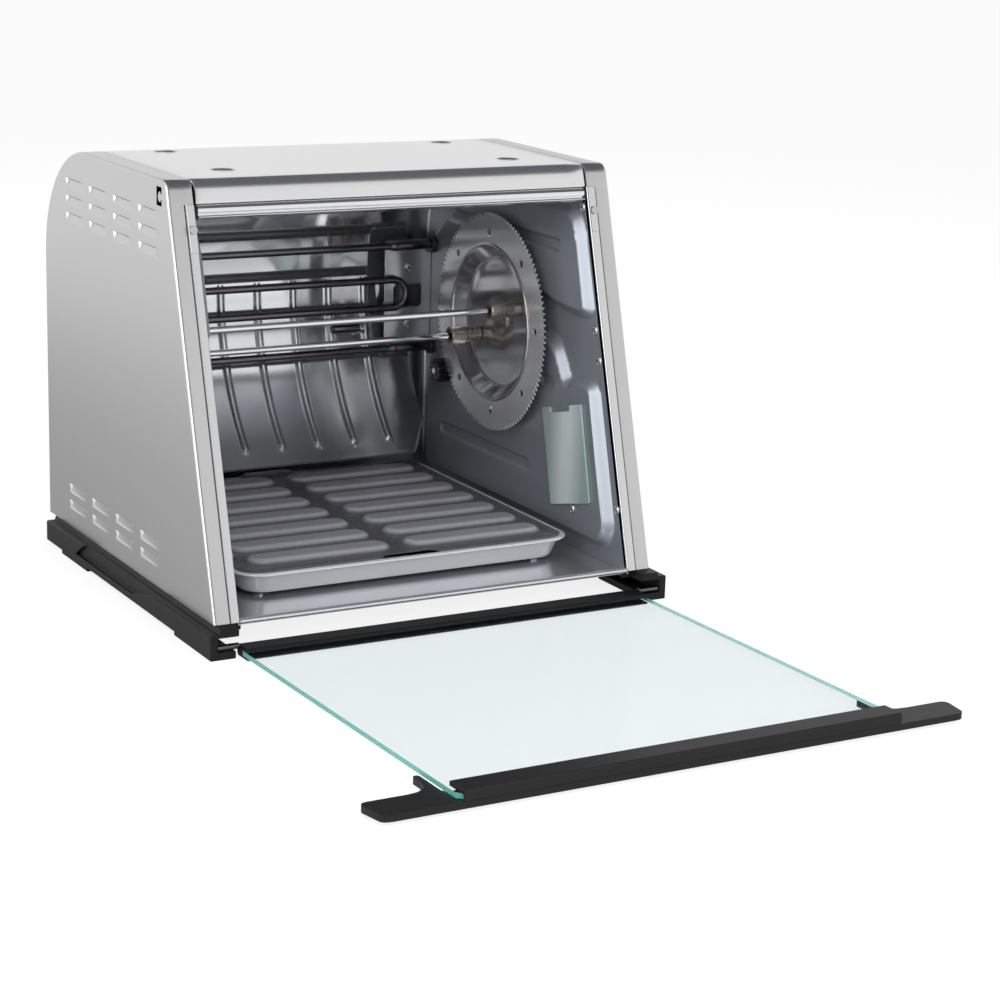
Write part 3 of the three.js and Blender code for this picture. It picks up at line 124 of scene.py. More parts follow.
def emptyMaterial(name):
    material = bpy.data.materials.new(name)
    material.use_nodes = True
    material.node_tree.nodes.clear()
    return material, material.node_tree


def makeFinish(name, pair, rough, metallic, grain, bump, detail=4, stretch=(1, 1, 1), blotch=None,
               paintedRidgeHighlight=None, band=None, satin=None, sockets=None, lampsPass=False):
    # Two close colours mixed by a noise of the given grain in mm, stretched along the
    # polishing or moulding direction. The same noise drives roughness and bump, in mm.
    # blotch = (size in mm, colour, share) lays a large soft stain over it. The ridge highlight,
    # (low z, high z, colour), is painted light: a lighter colour where the form stands up. band = (middle y,
    # half width, colour) turns to its colour on both sides. satin = (high z, low z, roughness) is rougher
    # further down by up to that roughness. lampsPass lets the lamps' light through clear
    # glass, so that what lies under it isn't black.
    material, tree = emptyMaterial(name)
    spot = addNode(tree, "ShaderNodeTexCoord").outputs["Object"]
    if paintedRidgeHighlight or band or satin:
        axes = addNode(tree, "ShaderNodeSeparateXYZ", {0: spot}).outputs
    run = addNode(tree, "ShaderNodeMapping", {"Vector": spot, "Scale": stretch}).outputs[0]
    noise = addNode(tree, "ShaderNodeTexNoise", {
        "Vector": run, "Scale": 1000 / grain, "Detail": detail, "Roughness": 0.6}).outputs[0]
    colour = addNode(tree, "ShaderNodeMix", {
        "Factor": noise, 6: hexToLinear(pair[0]), 7: hexToLinear(pair[1])}, data_type="RGBA").outputs[2]
    layers = []  # each is a value, where it starts, where it is full, its share there, its colour
    if blotch:
        size, tint, most = blotch
        stain = addNode(tree, "ShaderNodeTexNoise", {"Vector": spot, "Scale": 1000 / size, "Detail": 2})
        layers.append((stain.outputs[0], 0.4, 0.65, most, tint))
    # painted highlight: the colour turns lighter between the two heights, where the ridges stand up
    if paintedRidgeHighlight:
        low, high, tint = paintedRidgeHighlight
        layers.append((axes[2], low * 0.001, high * 0.001, 1, tint))
    if band:
        middle, half, tint = band
        offset = addNode(tree, "ShaderNodeMath", {0: axes[1], 1: middle * 0.001}, operation="SUBTRACT")
        away = addNode(tree, "ShaderNodeMath", {0: offset.outputs[0]}, operation="ABSOLUTE")
        layers.append((away.outputs[0], half * 0.0002, half * 0.001, 1, tint))
    for value, start, full, most, tint in layers:
        share = addNode(tree, "ShaderNodeMapRange", {
            "Value": value, "From Min": start, "From Max": full, "To Max": most}).outputs[0]
        colour = addNode(tree, "ShaderNodeMix", {
            "Factor": share, 6: colour, 7: hexToLinear(tint)}, data_type="RGBA").outputs[2]
    gloss = addNode(tree, "ShaderNodeMapRange", {
        "Value": noise, "From Min": 0.3, "From Max": 0.7, "To Min": rough[0], "To Max": rough[1]}).outputs[0]
    if satin:
        high, low, most = satin
        more = addNode(tree, "ShaderNodeMapRange", {
            "Value": axes[2], "From Min": high * 0.001, "From Max": low * 0.001, "To Max": most})
        gloss = addNode(tree, "ShaderNodeMath", {0: gloss, 1: more.outputs[0]}).outputs[0]
    relief = addNode(tree, "ShaderNodeBump", {
        "Strength": 1.0, "Distance": bump * 0.001, "Height": noise}).outputs[0]
    shader = addNode(tree, "ShaderNodeBsdfPrincipled", {
        "Base Color": colour, "Metallic": metallic, "Roughness": gloss, "Normal": relief,
        **(sockets or {})}).outputs[0]
    if lampsPass:
        shadow = addNode(tree, "ShaderNodeLightPath").outputs["Is Shadow Ray"]
        clear = addNode(tree, "ShaderNodeBsdfTransparent", {"Color": hexToLinear(pair[0])}).outputs[0]
        shader = addNode(tree, "ShaderNodeMixShader", {0: shadow, 1: shader, 2: clear}).outputs[0]
    addNode(tree, "ShaderNodeOutputMaterial", {"Surface": shader})
    return material


# Brushed 430 stainless sheet, No. 4 polish: satin grey with hair lines along the sheet.
# Real lines are 0.1 to 0.2 mm apart; they are drawn at 1.2 mm so that they show.
# The side, top and pillar finishes are one stainless steel. Their lightness is painted light and shade: the
# top copy is lighter, and the pillar and side copies are darker, as light falls on them. Their roughness and
# the run of their lines differ for real.
shadedSideSteel = makeFinish("brushedSideSteelPaintedShade", ("#c9c9c9", "#c6c6c7"), (0.285, 0.3), 1, 1.2, 0.0008, 2,
                       stretch=(1, 1, 0.02))
litTopSteel = makeFinish("brushedTopSteelPaintedLight", ("#dfdfe0", "#dbdbdc"), (0.24, 0.255), 1, 1.2, 0.0008, 2,
                      stretch=(0.02, 1, 1))
shadedPillarSteel = makeFinish("brushedPillarSteelPaintedShade", ("#d3d3d4", "#cfcfd0"), (0.235, 0.25), 1, 1.2, 0.0008, 2,
                         stretch=(1, 0.08, 0.02))
# Bright annealed trim: nearly a mirror, with faint drawing lines along the bar.
trimSteel = makeFinish("brightDrawnTrim", ("#e4e4e5", "#dcdcde"), (0.07, 0.11), 1, 0.6, 0.0008,
                       stretch=(0.02, 1, 1))
# Aluminised steel: a soft blue-grey sheen with a faint mottle of the hot dip.
wallSteel = makeFinish("aluminisedSteel", ("#979ca4", "#9298a0"), (0.29, 0.3), 0.6, 9, 0.0006, 1,
                       blotch=(60, "#8f959d", 0.3))
# Ceiling sheet, seen only in the reflector: a lighter copy of the aluminised wall steel whose extra lightness
# is painted light, so that it carries the opening's light down.
ceilingSteelPaintedLight = makeFinish("ceilingSteelPaintedLight", ("#dfe0e3", "#d8dade"), (0.3, 0.31), 0.85, 9, 0.0006, 1)
# Mirror-polished reflector: long soft waves of the pressed sheet bend its reflections, and
# fat has dulled its lower part a little.
mirrorSteel = makeFinish("mirrorSteel", ("#dcdde1", "#d2d4d8"), (0.06, 0.075), 0.95, 26, 0.1, 1,
                         stretch=(1, 1, 0.4), satin=(185, 115, 0.07))
# Polished floor pan: a soft mirror of the tray and of the hem.
floorMirror = makeFinish("polishedPanSteel", ("#d6d8dc", "#cccdd2"), (0.14, 0.15), 0.88, 30, 0.03, 1)
# Spark-eroded black polypropylene of the base: matt, with a fine even grain.
basePlastic = makeFinish("mouldedPolypropylene", ("#171718", "#131314"), (0.42, 0.46), 0, 0.7, 0.02,
                         sockets={"Specular IOR Level": 0.2})
# Glass-filled nylon of the handle: a closer, slightly shinier grain.
handlePlastic = makeFinish("mouldedNylon", ("#1f1e1f", "#1a191a"), (0.4, 0.44), 0, 0.5, 0.02,
                           sockets={"Specular IOR Level": 0.15})
# Black acetal gear: smooth, with a small sheen on the teeth.
pinionPlastic = makeFinish("mouldedAcetal", ("#161616", "#0f0f10"), (0.3, 0.4), 0, 0.6, 0.02)
# Incoloy element sheath: dark oxide, browner where it runs hottest.
elementSteel = makeFinish("oxidisedSheath", ("#77757a", "#68666a"), (0.14, 0.22), 1, 3, 0.004,
                          stretch=(0.3, 1, 1), blotch=(25, "#63594f", 0.35))
# Collars on the element's ends: straw and brown heat tints.
crimpSteel = makeFinish("heatTintedCollar", ("#9a7650", "#7b5d43"), (0.2, 0.3), 1, 2, 0.005)
# Zinc-plated wheel blank: bright, with a light turned lay.
wheelSteel = makeFinish("platedWheelSteel", ("#d6d5d5", "#cdcccc"), (0.2, 0.21), 0.72, 5, 0.0004, 1,
                        stretch=(1, 0.3, 1), blotch=(40, "#bdbcbd", 0.3))
# The dish of the wheel was drawn over a polished die, and mirrors the sleeves.
dishSteel = makeFinish("drawnDishSteel", ("#bcbbbb", "#b7b6b6"), (0.14, 0.145), 0.93, 12, 0.0004, 1)
# Chromed rods: bright lines along the bar.
chromeSteel = makeFinish("chromedRod", ("#ebebec", "#e3e3e5"), (0.04, 0.07), 1, 1.5, 0.0005,
                         stretch=(0.1, 1, 1))
# Turned nickel silver of the sleeves: warm grey with a turned lay.
sleeveSteel = makeFinish("turnedNickel", ("#a39c94", "#9a938b"), (0.27, 0.28), 0.85, 4, 0.0003, 1,
                         stretch=(1, 0.2, 0.2))
# Deep-drawn tray: pale satin steel.
traySteel = makeFinish("deepDrawnTraySteel", ("#eceef1", "#e8eaee"), (0.2, 0.205), 0.6, 0.5, 0.0003, 1,
                       stretch=(0.1, 0.1, 1))
# Non-stick coat on the tray cover: a dark satin film, with a painted highlight that makes it paler on the
# ridges.
coverCoat = makeFinish("nonStickCoat", ("#68686e", "#646469"), (0.27, 0.275), 0.55, 0.5, 0.0003, 2,
                       paintedRidgeHighlight=(45.9, 48.2, "#acacb4"))
# Steatite: dry cream ceramic, and the glazed dark one of the element's ends.
ceramicWhite = makeFinish("steatiteCeramic", ("#d2cbbd", "#c3bcae"), (0.6, 0.75), 0, 0.8, 0.03)
ceramicDark = makeFinish("glazedCeramic", ("#2c2a29", "#232120"), (0.3, 0.42), 0, 0.8, 0.01)
# Stamped bracket, galvanised casing and zinc-plated screws: plain greys of three lightnesses.
bracketSteel = makeFinish("polishedBracketSteel", ("#c6c8cb", "#bdc0c3"), (0.17, 0.18), 0.82, 5, 0.0004, 1)
motorSteel = makeFinish("galvanisedCasing", ("#8f9296", "#7f8286"), (0.4, 0.55), 0.9, 6, 0.02)
screwSteel = makeFinish("zincScrewSteel", ("#b9b9ba", "#aaaaab"), (0.2, 0.22), 0.85, 0.5, 0.002)
# Frosted lamp pane: pale green, blurs the bulb behind it, darker beside its middle.
paneGlass = makeFinish("frostedPane", ("#dbe6e4", "#d5e1df"), (0.35, 0.42), 0, 2, 0.004, 1,
                       band=(lampMiddle[0] + frontShift, 30, "#9fb0aa"),
                       sockets={"Transmission Weight": 0.35, "IOR": 1.5})
bulbGlass = makeFinish("lampBulbGlass", ("#f2f4f2", "#e8ebe8"), (0.03, 0.06), 0, 4, 0.005,
                       sockets={"Transmission Weight": 0.9, "IOR": 1.5})
# Tempered float glass seen through its face, and its ground edge, where the green shows.
# Its low IOR leaves out the mirror images of the oven, as the photo's even tint does.
faceGlass = makeFinish("temperedGlassFace", ("#e4e9ea", "#e3e8e9"), (0.0, 0.01), 0, 40, 0.0, 1,
                       sockets={"Transmission Weight": 1.0, "IOR": 1.03, "Specular IOR Level": 0.05},
                       lampsPass=True)
edgeGlass = makeFinish("groundGlassEdge", ("#6fb5ac", "#54a097"), (0.2, 0.35), 0, 1.5, 0.02,
                       sockets={"Transmission Weight": 0.3, "IOR": 1.5})
paneEdge = makeFinish("groundPaneEdge", ("#8fa8a4", "#7b9692"), (0.3, 0.4), 0, 1.5, 0.02)

# The CAD nodes that no piece replaces. The casings are in the closed housing.
for nodeName, finish in (("cavity_ceiling", ceilingSteelPaintedLight), ("gear_motor", motorSteel),
                         ("timer_body", motorSteel), ("mode_switch_body", motorSteel)):
    frame["nodes"][nodeName].data.materials.clear()
    frame["nodes"][nodeName].data.materials.append(finish)
print("materials made:", len(bpy.data.materials))


# Meshes

# Distances in m under which points and slivers are welded, and angles in degrees over which an
# edge is bevelled and under which two faces are one.
weld = {"points": 2e-6, "slivers": 1e-7, "bevelFrom": 32, "flat": 1}
sideNames = {-1: "left", 1: "right"}


def meshFrom(name, points, faceSets):
    # one mesh from points in mm and arrays of faces, each array with one number of corners
    mesh = bpy.data.meshes.new(name)
    faceSets = [np.asarray(faces, np.int32) for faces in faceSets if len(faces)]
    sizes = np.concatenate([np.full(len(faces), faces.shape[1], np.int32) for faces in faceSets])
    corners = np.concatenate([faces.ravel() for faces in faceSets])
    starts = np.concatenate([[0], np.cumsum(sizes)[:-1]]).astype(np.int32)
    place = ((np.asarray(points, float) + (0, frontShift, 0)) * 0.001).astype(np.float32)
    mesh.vertices.add(len(place))
    mesh.vertices.foreach_set("co", place.ravel())
    mesh.loops.add(len(corners))
    mesh.loops.foreach_set("vertex_index", corners)
    mesh.polygons.add(len(sizes))
    mesh.polygons.foreach_set("loop_start", starts)
    mesh.update(calc_edges=True)
    return mesh


def joinParts(parts):
    # several (points, face arrays) as one
    points, faceSets, count = [], [], 0
    for partPoints, partFaces in parts:
        partPoints = np.asarray(partPoints, float).reshape(-1, 3)
        points.append(partPoints)
        faceSets += [np.asarray(faces) + count for faces in partFaces if len(faces)]
        count += len(partPoints)
    return np.concatenate(points), faceSets


def place(name, parts, finish, slotName, stands=(), body="housing", facing=None, wall=0, bevel=0,
          segments=2, sharp=28, edgeFinish=None, upright=None):
    # Welds the parts, turns the faces outwards, or towards facing on an open sheet,
    # gives the sheet its wall and rounds its edges. edgeFinish goes on the faces that
    # stand square to upright.
    if isinstance(parts, bpy.types.Mesh):
        mesh = parts
        mesh.name = name
    else:
        mesh = meshFrom(name, *joinParts(parts))
    shape = bmesh.new()
    shape.from_mesh(mesh)
    bmesh.ops.remove_doubles(shape, verts=shape.verts, dist=weld["points"])
    bmesh.ops.dissolve_degenerate(shape, edges=shape.edges, dist=weld["slivers"])
    if facing is None:
        bmesh.ops.recalc_face_normals(shape, faces=shape.faces)
    else:
        shape.normal_update()
        total = sum((face.normal * face.calc_area() for face in shape.faces), Vector())
        if total.dot(Vector(facing)) < 0:
            bmesh.ops.reverse_faces(shape, faces=shape.faces)
    shape.to_mesh(mesh)
    shape.free()
    piece = bpy.data.objects.new(name, mesh)
    bpy.context.scene.collection.objects.link(piece)
    if wall:
        thick = piece.modifiers.new("wall", "SOLIDIFY")
        thick.thickness, thick.offset, thick.use_even_offset = wall * 0.001, -1, False
    if bevel:
        edge = piece.modifiers.new("edge", "BEVEL")
        edge.width, edge.segments, edge.limit_method = bevel * 0.001, segments, "ANGLE"
        edge.angle_limit, edge.use_clamp_overlap = math.radians(weld["bevelFrom"]), True
        edge.harden_normals = True
        mesh.shade_smooth()
        mesh.set_sharp_from_angle(angle=math.radians(sharp))
    if wall or bevel:
        bpy.context.view_layer.update()
        baked = bpy.data.meshes.new_from_object(piece.evaluated_get(bpy.context.evaluated_depsgraph_get()))
        piece.modifiers.clear()
        piece.data = baked
        bpy.data.meshes.remove(mesh)
        baked.name = name
    if not bevel:
        piece.data.shade_smooth()
        piece.data.set_sharp_from_angle(angle=math.radians(sharp))
    piece.data.materials.clear()
    piece.data.materials.append(finish)
    if edgeFinish:
        piece.data.materials.append(edgeFinish)
        normals = np.zeros(len(piece.data.polygons) * 3, np.float32)
        piece.data.polygons.foreach_get("normal", normals)
        beside = np.abs(normals.reshape(-1, 3) @ np.array(upright)) < 0.6
        piece.data.polygons.foreach_set("material_index", beside.astype(np.int32))
    if stands:
        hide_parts(*stands)
    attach(piece, body)


def roundedCopy(name, nodeName, finish, slotName, bevel, segments=2, sharp=28):
    # the node's own form, welded, with its flat faces whole again and its edges rounded
    node = frame["nodes"][nodeName]
    mesh = node.data.copy()
    shape = bmesh.new()
    shape.from_mesh(mesh)
    bmesh.ops.remove_doubles(shape, verts=shape.verts, dist=weld["points"])
    bmesh.ops.dissolve_limit(shape, angle_limit=math.radians(weld["flat"]), verts=shape.verts,
                             edges=shape.edges)
    shape.to_mesh(mesh)
    shape.free()
    for layer in list(mesh.uv_layers):
        mesh.uv_layers.remove(layer)
    place(name, mesh, finish, slotName, [nodeName], node["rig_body"], bevel=bevel, segments=segments,
          sharp=sharp)


def gridFaces(rows, columns, wrap=False):
    # quads between neighbouring rows and columns; wrap joins the last column to the first
    index = np.arange(rows * columns).reshape(rows, columns)
    if wrap:
        index = np.hstack([index, index[:, :1]])
    return np.stack([index[:-1, :-1], index[:-1, 1:], index[1:, 1:], index[1:, :-1]], -1).reshape(-1, 4)


def turned(profile, centre, axis="x", sides=48):
    # a profile of (radius, distance along the axis) carried round the axis in equal turns
    profile = np.asarray(profile, float)
    turn = np.arange(sides) * 2 * math.pi / sides
    around = profile[:, :1, None] * np.stack([np.cos(turn), np.sin(turn)], -1)[None]
    along = np.repeat(profile[:, 1:2], sides, 1)[..., None]
    order = {"x": [2, 0, 1], "y": [1, 2, 0], "z": [0, 1, 2]}[axis]
    points = np.concatenate([around, along], -1)[..., order] + np.asarray(centre, float)
    return points.reshape(-1, 3), [gridFaces(len(profile), sides, True)]


def insideLoops(points, loops):
    # a point is inside where a level ray from it crosses the loops an odd number of times
    inside = np.zeros(len(points), bool)
    for loop in loops:
        start, end = loop, np.roll(loop, -1, 0)
        rise = end[:, 1] - start[:, 1]
        rise = np.where(rise == 0, 1e-12, rise)
        crosses = (start[:, 1] > points[:, 1:2]) != (end[:, 1] > points[:, 1:2])
        reach = start[:, 0] + (points[:, 1:2] - start[:, 1]) / rise * (end[:, 0] - start[:, 0])
        inside ^= (crosses & (points[:, :1] < reach)).sum(1) % 2 == 1
    return inside


def plateFaces(loops, guides=()):
    # flat triangles between the loops, with guide loops that only steer the triangles
    everyLoop = [np.asarray(loop, float) for loop in list(loops) + list(guides)]
    edges, count = [], 0
    for loop in everyLoop:
        edges += [(count + i, count + (i + 1) % len(loop)) for i in range(len(loop))]
        count += len(loop)
    found = delaunay_2d_cdt([Vector(p) for p in np.concatenate(everyLoop)], edges, [], 0, 1e-5)
    points = np.array([tuple(p) for p in found[0]])
    faces = np.array([face for face in found[2] if len(face) == 3])
    middle = points[faces].mean(1)
    return points, faces[insideLoops(middle, everyLoop[:len(loops)])]


def onAxis(flat, level, axis):
    # flat (u, v) points at a level: on x they are (y, z), on y (x, z), on z (x, y)
    level = np.full(len(flat), float(level))
    columns = {"x": (level, flat[:, 0], flat[:, 1]), "y": (flat[:, 0], level, flat[:, 1]),
               "z": (flat[:, 0], flat[:, 1], level)}[axis]
    return np.stack(columns, -1)


def prism(loops, low, high, axis):
    # two flat caps and a wall along each loop
    loops = [np.asarray(loop, float) for loop in loops]
    flat, faces = plateFaces(loops)
    parts = [(onAxis(flat, level, axis), [faces]) for level in (low, high)]
    for loop in loops:
        parts.append((np.concatenate([onAxis(loop, low, axis), onAxis(loop, high, axis)]),
                      [gridFaces(2, len(loop), True)]))
    return parts


def onSide(side, parts):
    # what is drawn on the right stays there, or is mirrored for the left
    return [(np.asarray(points) * (side, 1, 1), faces) for points, faces in parts]


def eased(value):
    # 0 to 1 with level ends: 3t squared less 2t cubed
    value = np.clip(value, 0, 1)
    return value * value * (3 - 2 * value)


def onCircle(centre, radius, turn):
    # the centre and a radius times the cosine and the sine of a turn in radians
    return np.stack([centre[0] + radius * np.cos(turn), centre[1] + radius * np.sin(turn)], -1)


def arc(centre, radius, start, end, steps):
    return onCircle(centre, radius, np.radians(np.linspace(start, end, steps + 1)))


def stations(values, least=0.35):
    # sorted values with any that crowd the one before left out
    values = np.sort(np.concatenate([np.atleast_1d(np.asarray(value, float)) for value in values]))
    kept = [values[0]]
    for value in values[1:]:
        if value - kept[-1] > least:
            kept.append(value)
    return np.array(kept)


def roundedLoop(corners, radius, steps=6):
    # each corner becomes a quadratic curve that starts and ends up to radius from it
    corners = np.asarray(corners, float)
    before, after = np.roll(corners, 1, 0) - corners, np.roll(corners, -1, 0) - corners
    share = np.linspace(0, 1, steps + 1)[None, :, None]
    cut = np.minimum(np.minimum(np.linalg.norm(before, axis=1), np.linalg.norm(after, axis=1)) / 2, radius)
    enter = corners + before / np.linalg.norm(before, axis=1)[:, None] * cut[:, None]
    leave = corners + after / np.linalg.norm(after, axis=1)[:, None] * cut[:, None]
    curve = (enter[:, None] * (1 - share) ** 2 + corners[:, None] * 2 * share * (1 - share)
             + leave[:, None] * share ** 2)
    return curve.reshape(-1, 2)


def roundedBox(halfU, halfV, radius, centre, steps=6):
    corners = np.array([[-halfU, -halfV], [halfU, -halfV], [halfU, halfV], [-halfU, halfV]])
    return roundedLoop(corners + centre, radius, steps)


def circleLoop(radius, centre, sides=24):
    return arc(centre, radius, 0, 360, sides)[:-1]


def distanceInside(points, loop):
    # distance to the loop's nearest edge, positive inside it
    start, edge = loop, np.roll(loop, -1, 0) - loop
    best = np.full(len(points), np.inf)
    for a, e in zip(start, edge):
        share = np.clip(((points - a) @ e) / max(e @ e, 1e-12), 0, 1)
        best = np.minimum(best, np.hypot(*(points - a - share[:, None] * e).T))
    return np.where(insideLoops(points, [loop]), best, -best)


# Housing

housing = {
    "halfWidth": 200, "depth": 372.5, "top": 356, "bottom": 24.4, "lean": 96.5, "rearRadius": 98,
    "frontRoll": 8, "flange": 13.6, "wideFlange": 21.6, "seam": 0.4, "fold": 2.8, "edgeRoll": 0.8,
    "openingHalf": 178, "railDrop": 19, "gap": 0.3, "sheet": 1,
}
gap, openingHalf = housing["gap"], housing["openingHalf"]
slopeRise = housing["top"] - housing["bottom"]
slopeLength = math.hypot(housing["lean"], slopeRise)
railAlong = slopeLength - housing["railDrop"]
stripOuter = housing["halfWidth"] - housing["flange"] - housing["seam"]
insideBack = housing["depth"] - housing["sheet"] - gap

# Where the control shafts come through the right cover, as (y, z), and the holes' radius.
shaftSpots = {"timer": (150, 262), "mode": (150, 196)}
shaftHole = 3.4


def slopePoint(along, inset=0):
    # distance up the slope from its foot, and inset square to it, as (y, z)
    along, inset = np.broadcast_arrays(np.asarray(along, float), inset)
    return np.stack([(along * housing["lean"] + inset * slopeRise) / slopeLength,
                     housing["bottom"] + (along * slopeRise - inset * housing["lean"]) / slopeLength], -1)


def frontAt(height, inset=0):
    # y of the sloped front at a height
    return ((height - housing["bottom"]) * housing["lean"] + inset * slopeLength) / slopeRise


def sidePath(startAlong=0, extraTop=(), extraSlope=(), step=24):
    # the housing's outline from the foot of the front, up the slope, over the roll, which is
    # a quadratic curve, along the top, round the rear curve and down the back, with its
    # inward normals, which stand square to its run
    roll, top, back, radius = (housing[key] for key in ("frontRoll", "top", "depth", "rearRadius"))
    corner = np.array([housing["lean"], top])
    enter = corner - roll * np.array([housing["lean"], slopeRise]) / slopeLength
    leave = corner + (roll, 0)
    share = np.linspace(0, 1, 9)[:, None]
    curve = enter * (1 - share) ** 2 + corner * 2 * share * (1 - share) + leave * share ** 2
    upTo = slopeLength - roll
    along = np.linspace(startAlong, upTo, max(2, int((upTo - startAlong) / step)))[:-1]
    slope = slopePoint(stations([along, extraSlope], 0.05))
    level = stations([np.linspace(leave[0], back - radius, 14)[1:-1], extraTop])
    level = np.stack([level, np.full(len(level), float(top))], -1)
    rear = arc((back - radius, top - radius), radius, 90, 0, 36)
    down = np.linspace(top - radius, housing["bottom"], 10)[1:]
    down = np.stack([np.full(len(down), float(back)), down], -1)
    path = np.concatenate([slope, curve, level, rear, down])
    run = np.gradient(path, axis=0)
    normal = np.stack([run[:, 1], -run[:, 0]], -1)
    normal /= np.linalg.norm(normal, axis=1)[:, None]
    normal[-1] = (-1, 0)
    if startAlong == 0:
        normal[0] = (slopeLength / slopeRise, 0)
    return path, normal


def carried(path, normal, section):
    # section of (x, inset) carried along the path: each inset goes along the path's normal
    section = np.asarray(section, float)
    flat = path[:, None] + normal[:, None] * section[None, :, 1:]
    across = np.broadcast_to(section[None, :, :1], (len(path), len(section), 1))
    return np.concatenate([across, flat], -1).reshape(-1, 3), [gridFaces(len(path), len(section))]


# The rows of points across a louvre crowd together at its lower and its upper edge.
louvre = {
    "length": 41, "height": 8, "press": 2.6, "slit": 1.6, "rearRun": 3.2, "border": 1.5,
    "pitchAlong": 55.2, "pitchUp": 14.6, "rearInset": 74, "topDrop": 29.5, "footRise": 20,
    "columns": 4, "topRows": 3, "footRows": 2,
    "across": [-6, -5, -4.4, -4, -3.6, -3, -2.2, -1.3, -0.4, 0.5, 1.4, 2.2, 2.8, 3.2, 3.5, 3.7,
               3.85, 4, 4.15, 4.8, 6],
}


def louvrePatch(centre):
    # A pressed scoop. Its depth grows from the lower edge to the upper one and from the front
    # end to the rear one, stops short at the upper edge, and climbs out in an eased curve
    # at the rear end.
    half, high = louvre["length"] / 2, louvre["height"] / 2
    end = half + louvre["border"]
    u = stations([np.linspace(-end, end, 34),
                  np.linspace(half - louvre["rearRun"] - 0.5, half + 0.4, 15)], 0.15)
    grid = np.stack(np.meshgrid(u, louvre["across"]), -1)
    across, up = grid[..., 0], grid[..., 1]
    rise = np.clip((up + high) / (2 * high), 0, 1)
    along = np.clip((across + half) / (2 * half), 0, 1)
    upperEdge = 1 - eased((up - high + 0.5) / 0.5)
    rearEnd = eased((half - across) / louvre["rearRun"])
    lowerEdge = eased((up + high) / 1.2)
    frontEnd = eased((across + half) / 1.6)
    depth = louvre["press"] * (0.15 + 0.85 * rise ** 0.8) * (0.22 + 0.78 * along ** 0.7)
    depth *= upperEdge * rearEnd * lowerEdge * frontEnd
    depth += louvre["slit"] * eased((up - high + 1.1) / 0.4) * upperEdge * rearEnd * frontEnd * along ** 0.8
    points = np.stack([housing["halfWidth"] - depth, centre[0] + across, centre[1] + up], -1)
    rim = np.concatenate([grid[0], grid[1:, -1], grid[-1, -2::-1], grid[-2:0:-1, 0]])
    return points.reshape(-1, 3), [gridFaces(*points.shape[:2])], rim + centre


# A hooked slot near the front top corner, cut right through, as (y, z).
cornerSlot = [(114, 350), (103.5, 350), (103.5, 344.3), (105.2, 344.3), (106.6, 346.4), (108.8, 346.2),
              (110.6, 343.8), (111.4, 341.6), (110.2, 339.6), (108.4, 338.2), (106.4, 338), (105.2, 340),
              (103.5, 340), (103.5, 335), (114, 335)]


def makeCover(side):
    # A flange is carried round the housing's outline, wide from the foot of the rail on and
    # narrow on the slope under it. The flat side fills the outline, round the louvres and holes.
    step = railAlong - 0.3
    path, normal = sidePath(0, extraSlope=(step - 0.1, step))
    half, fold, roll = housing["halfWidth"], housing["fold"], housing["edgeRoll"]
    inner = half - housing["flange"]
    edge = [(inner, 3), (inner, roll), (inner + roll * 0.3, roll * 0.3), (inner + roll, 0)]
    bend = arc((half - fold, fold), fold, -90, 0, 7)
    points, faces = carried(path, normal, np.concatenate([edge, bend]))
    flange = points.reshape(len(path), -1, 3)
    wide = (path[:, 1] > slopePoint(step - 0.05)[1]) | (path[:, 0] > housing["depth"] / 2)
    flange[wide, :len(edge), 0] -= housing["wideFlange"] - housing["flange"]
    parts, holes = [(points, faces)], []
    rows = [housing["top"] - louvre["topDrop"] - i * louvre["pitchUp"] for i in range(louvre["topRows"])]
    rows += [housing["bottom"] + louvre["footRise"] + i * louvre["pitchUp"]
             for i in range(louvre["footRows"])]
    for height in rows:
        for column in range(louvre["columns"]):
            y = housing["depth"] - louvre["rearInset"] - column * louvre["pitchAlong"]
            points, faces, rim = louvrePatch((y, height))
            parts.append((points, faces))
            holes.append(rim)
    holes.append(roundedLoop(cornerSlot, 0.5, 3))
    if side > 0:
        holes += [circleLoop(shaftHole, spot) for spot in shaftSpots.values()]
    foot = housing["bottom"] + 2
    guide = path[1:-1] + normal[1:-1] * (fold + 1.5)
    guide = np.concatenate([[(guide[0][0] - 2, foot)], guide, [(guide[-1][0], foot)]])
    flat, faces = plateFaces([path + normal * fold] + holes, [guide])
    parts.append((onAxis(flat, half, "x"), [faces]))
    name = sideNames[side]
    place(name + "_side_sheet", onSide(side, parts), shadedSideSteel, "brushed_steel", [name + "_cover"],
          facing=(side, 0, 0), wall=housing["sheet"])


for side in sideNames:
    makeCover(side)
print("side covers made")

dimples = {"radius": 12, "depth": 1.3, "wall": 4.2, "halfSpan": 131, "rows": (144, 265), "grid": 14}
# At the front roll the top sheet draws back from the flange.
drawnEdge = {"by": 1.5, "ahead": 1.5, "reach": 6.5, "width": 2}


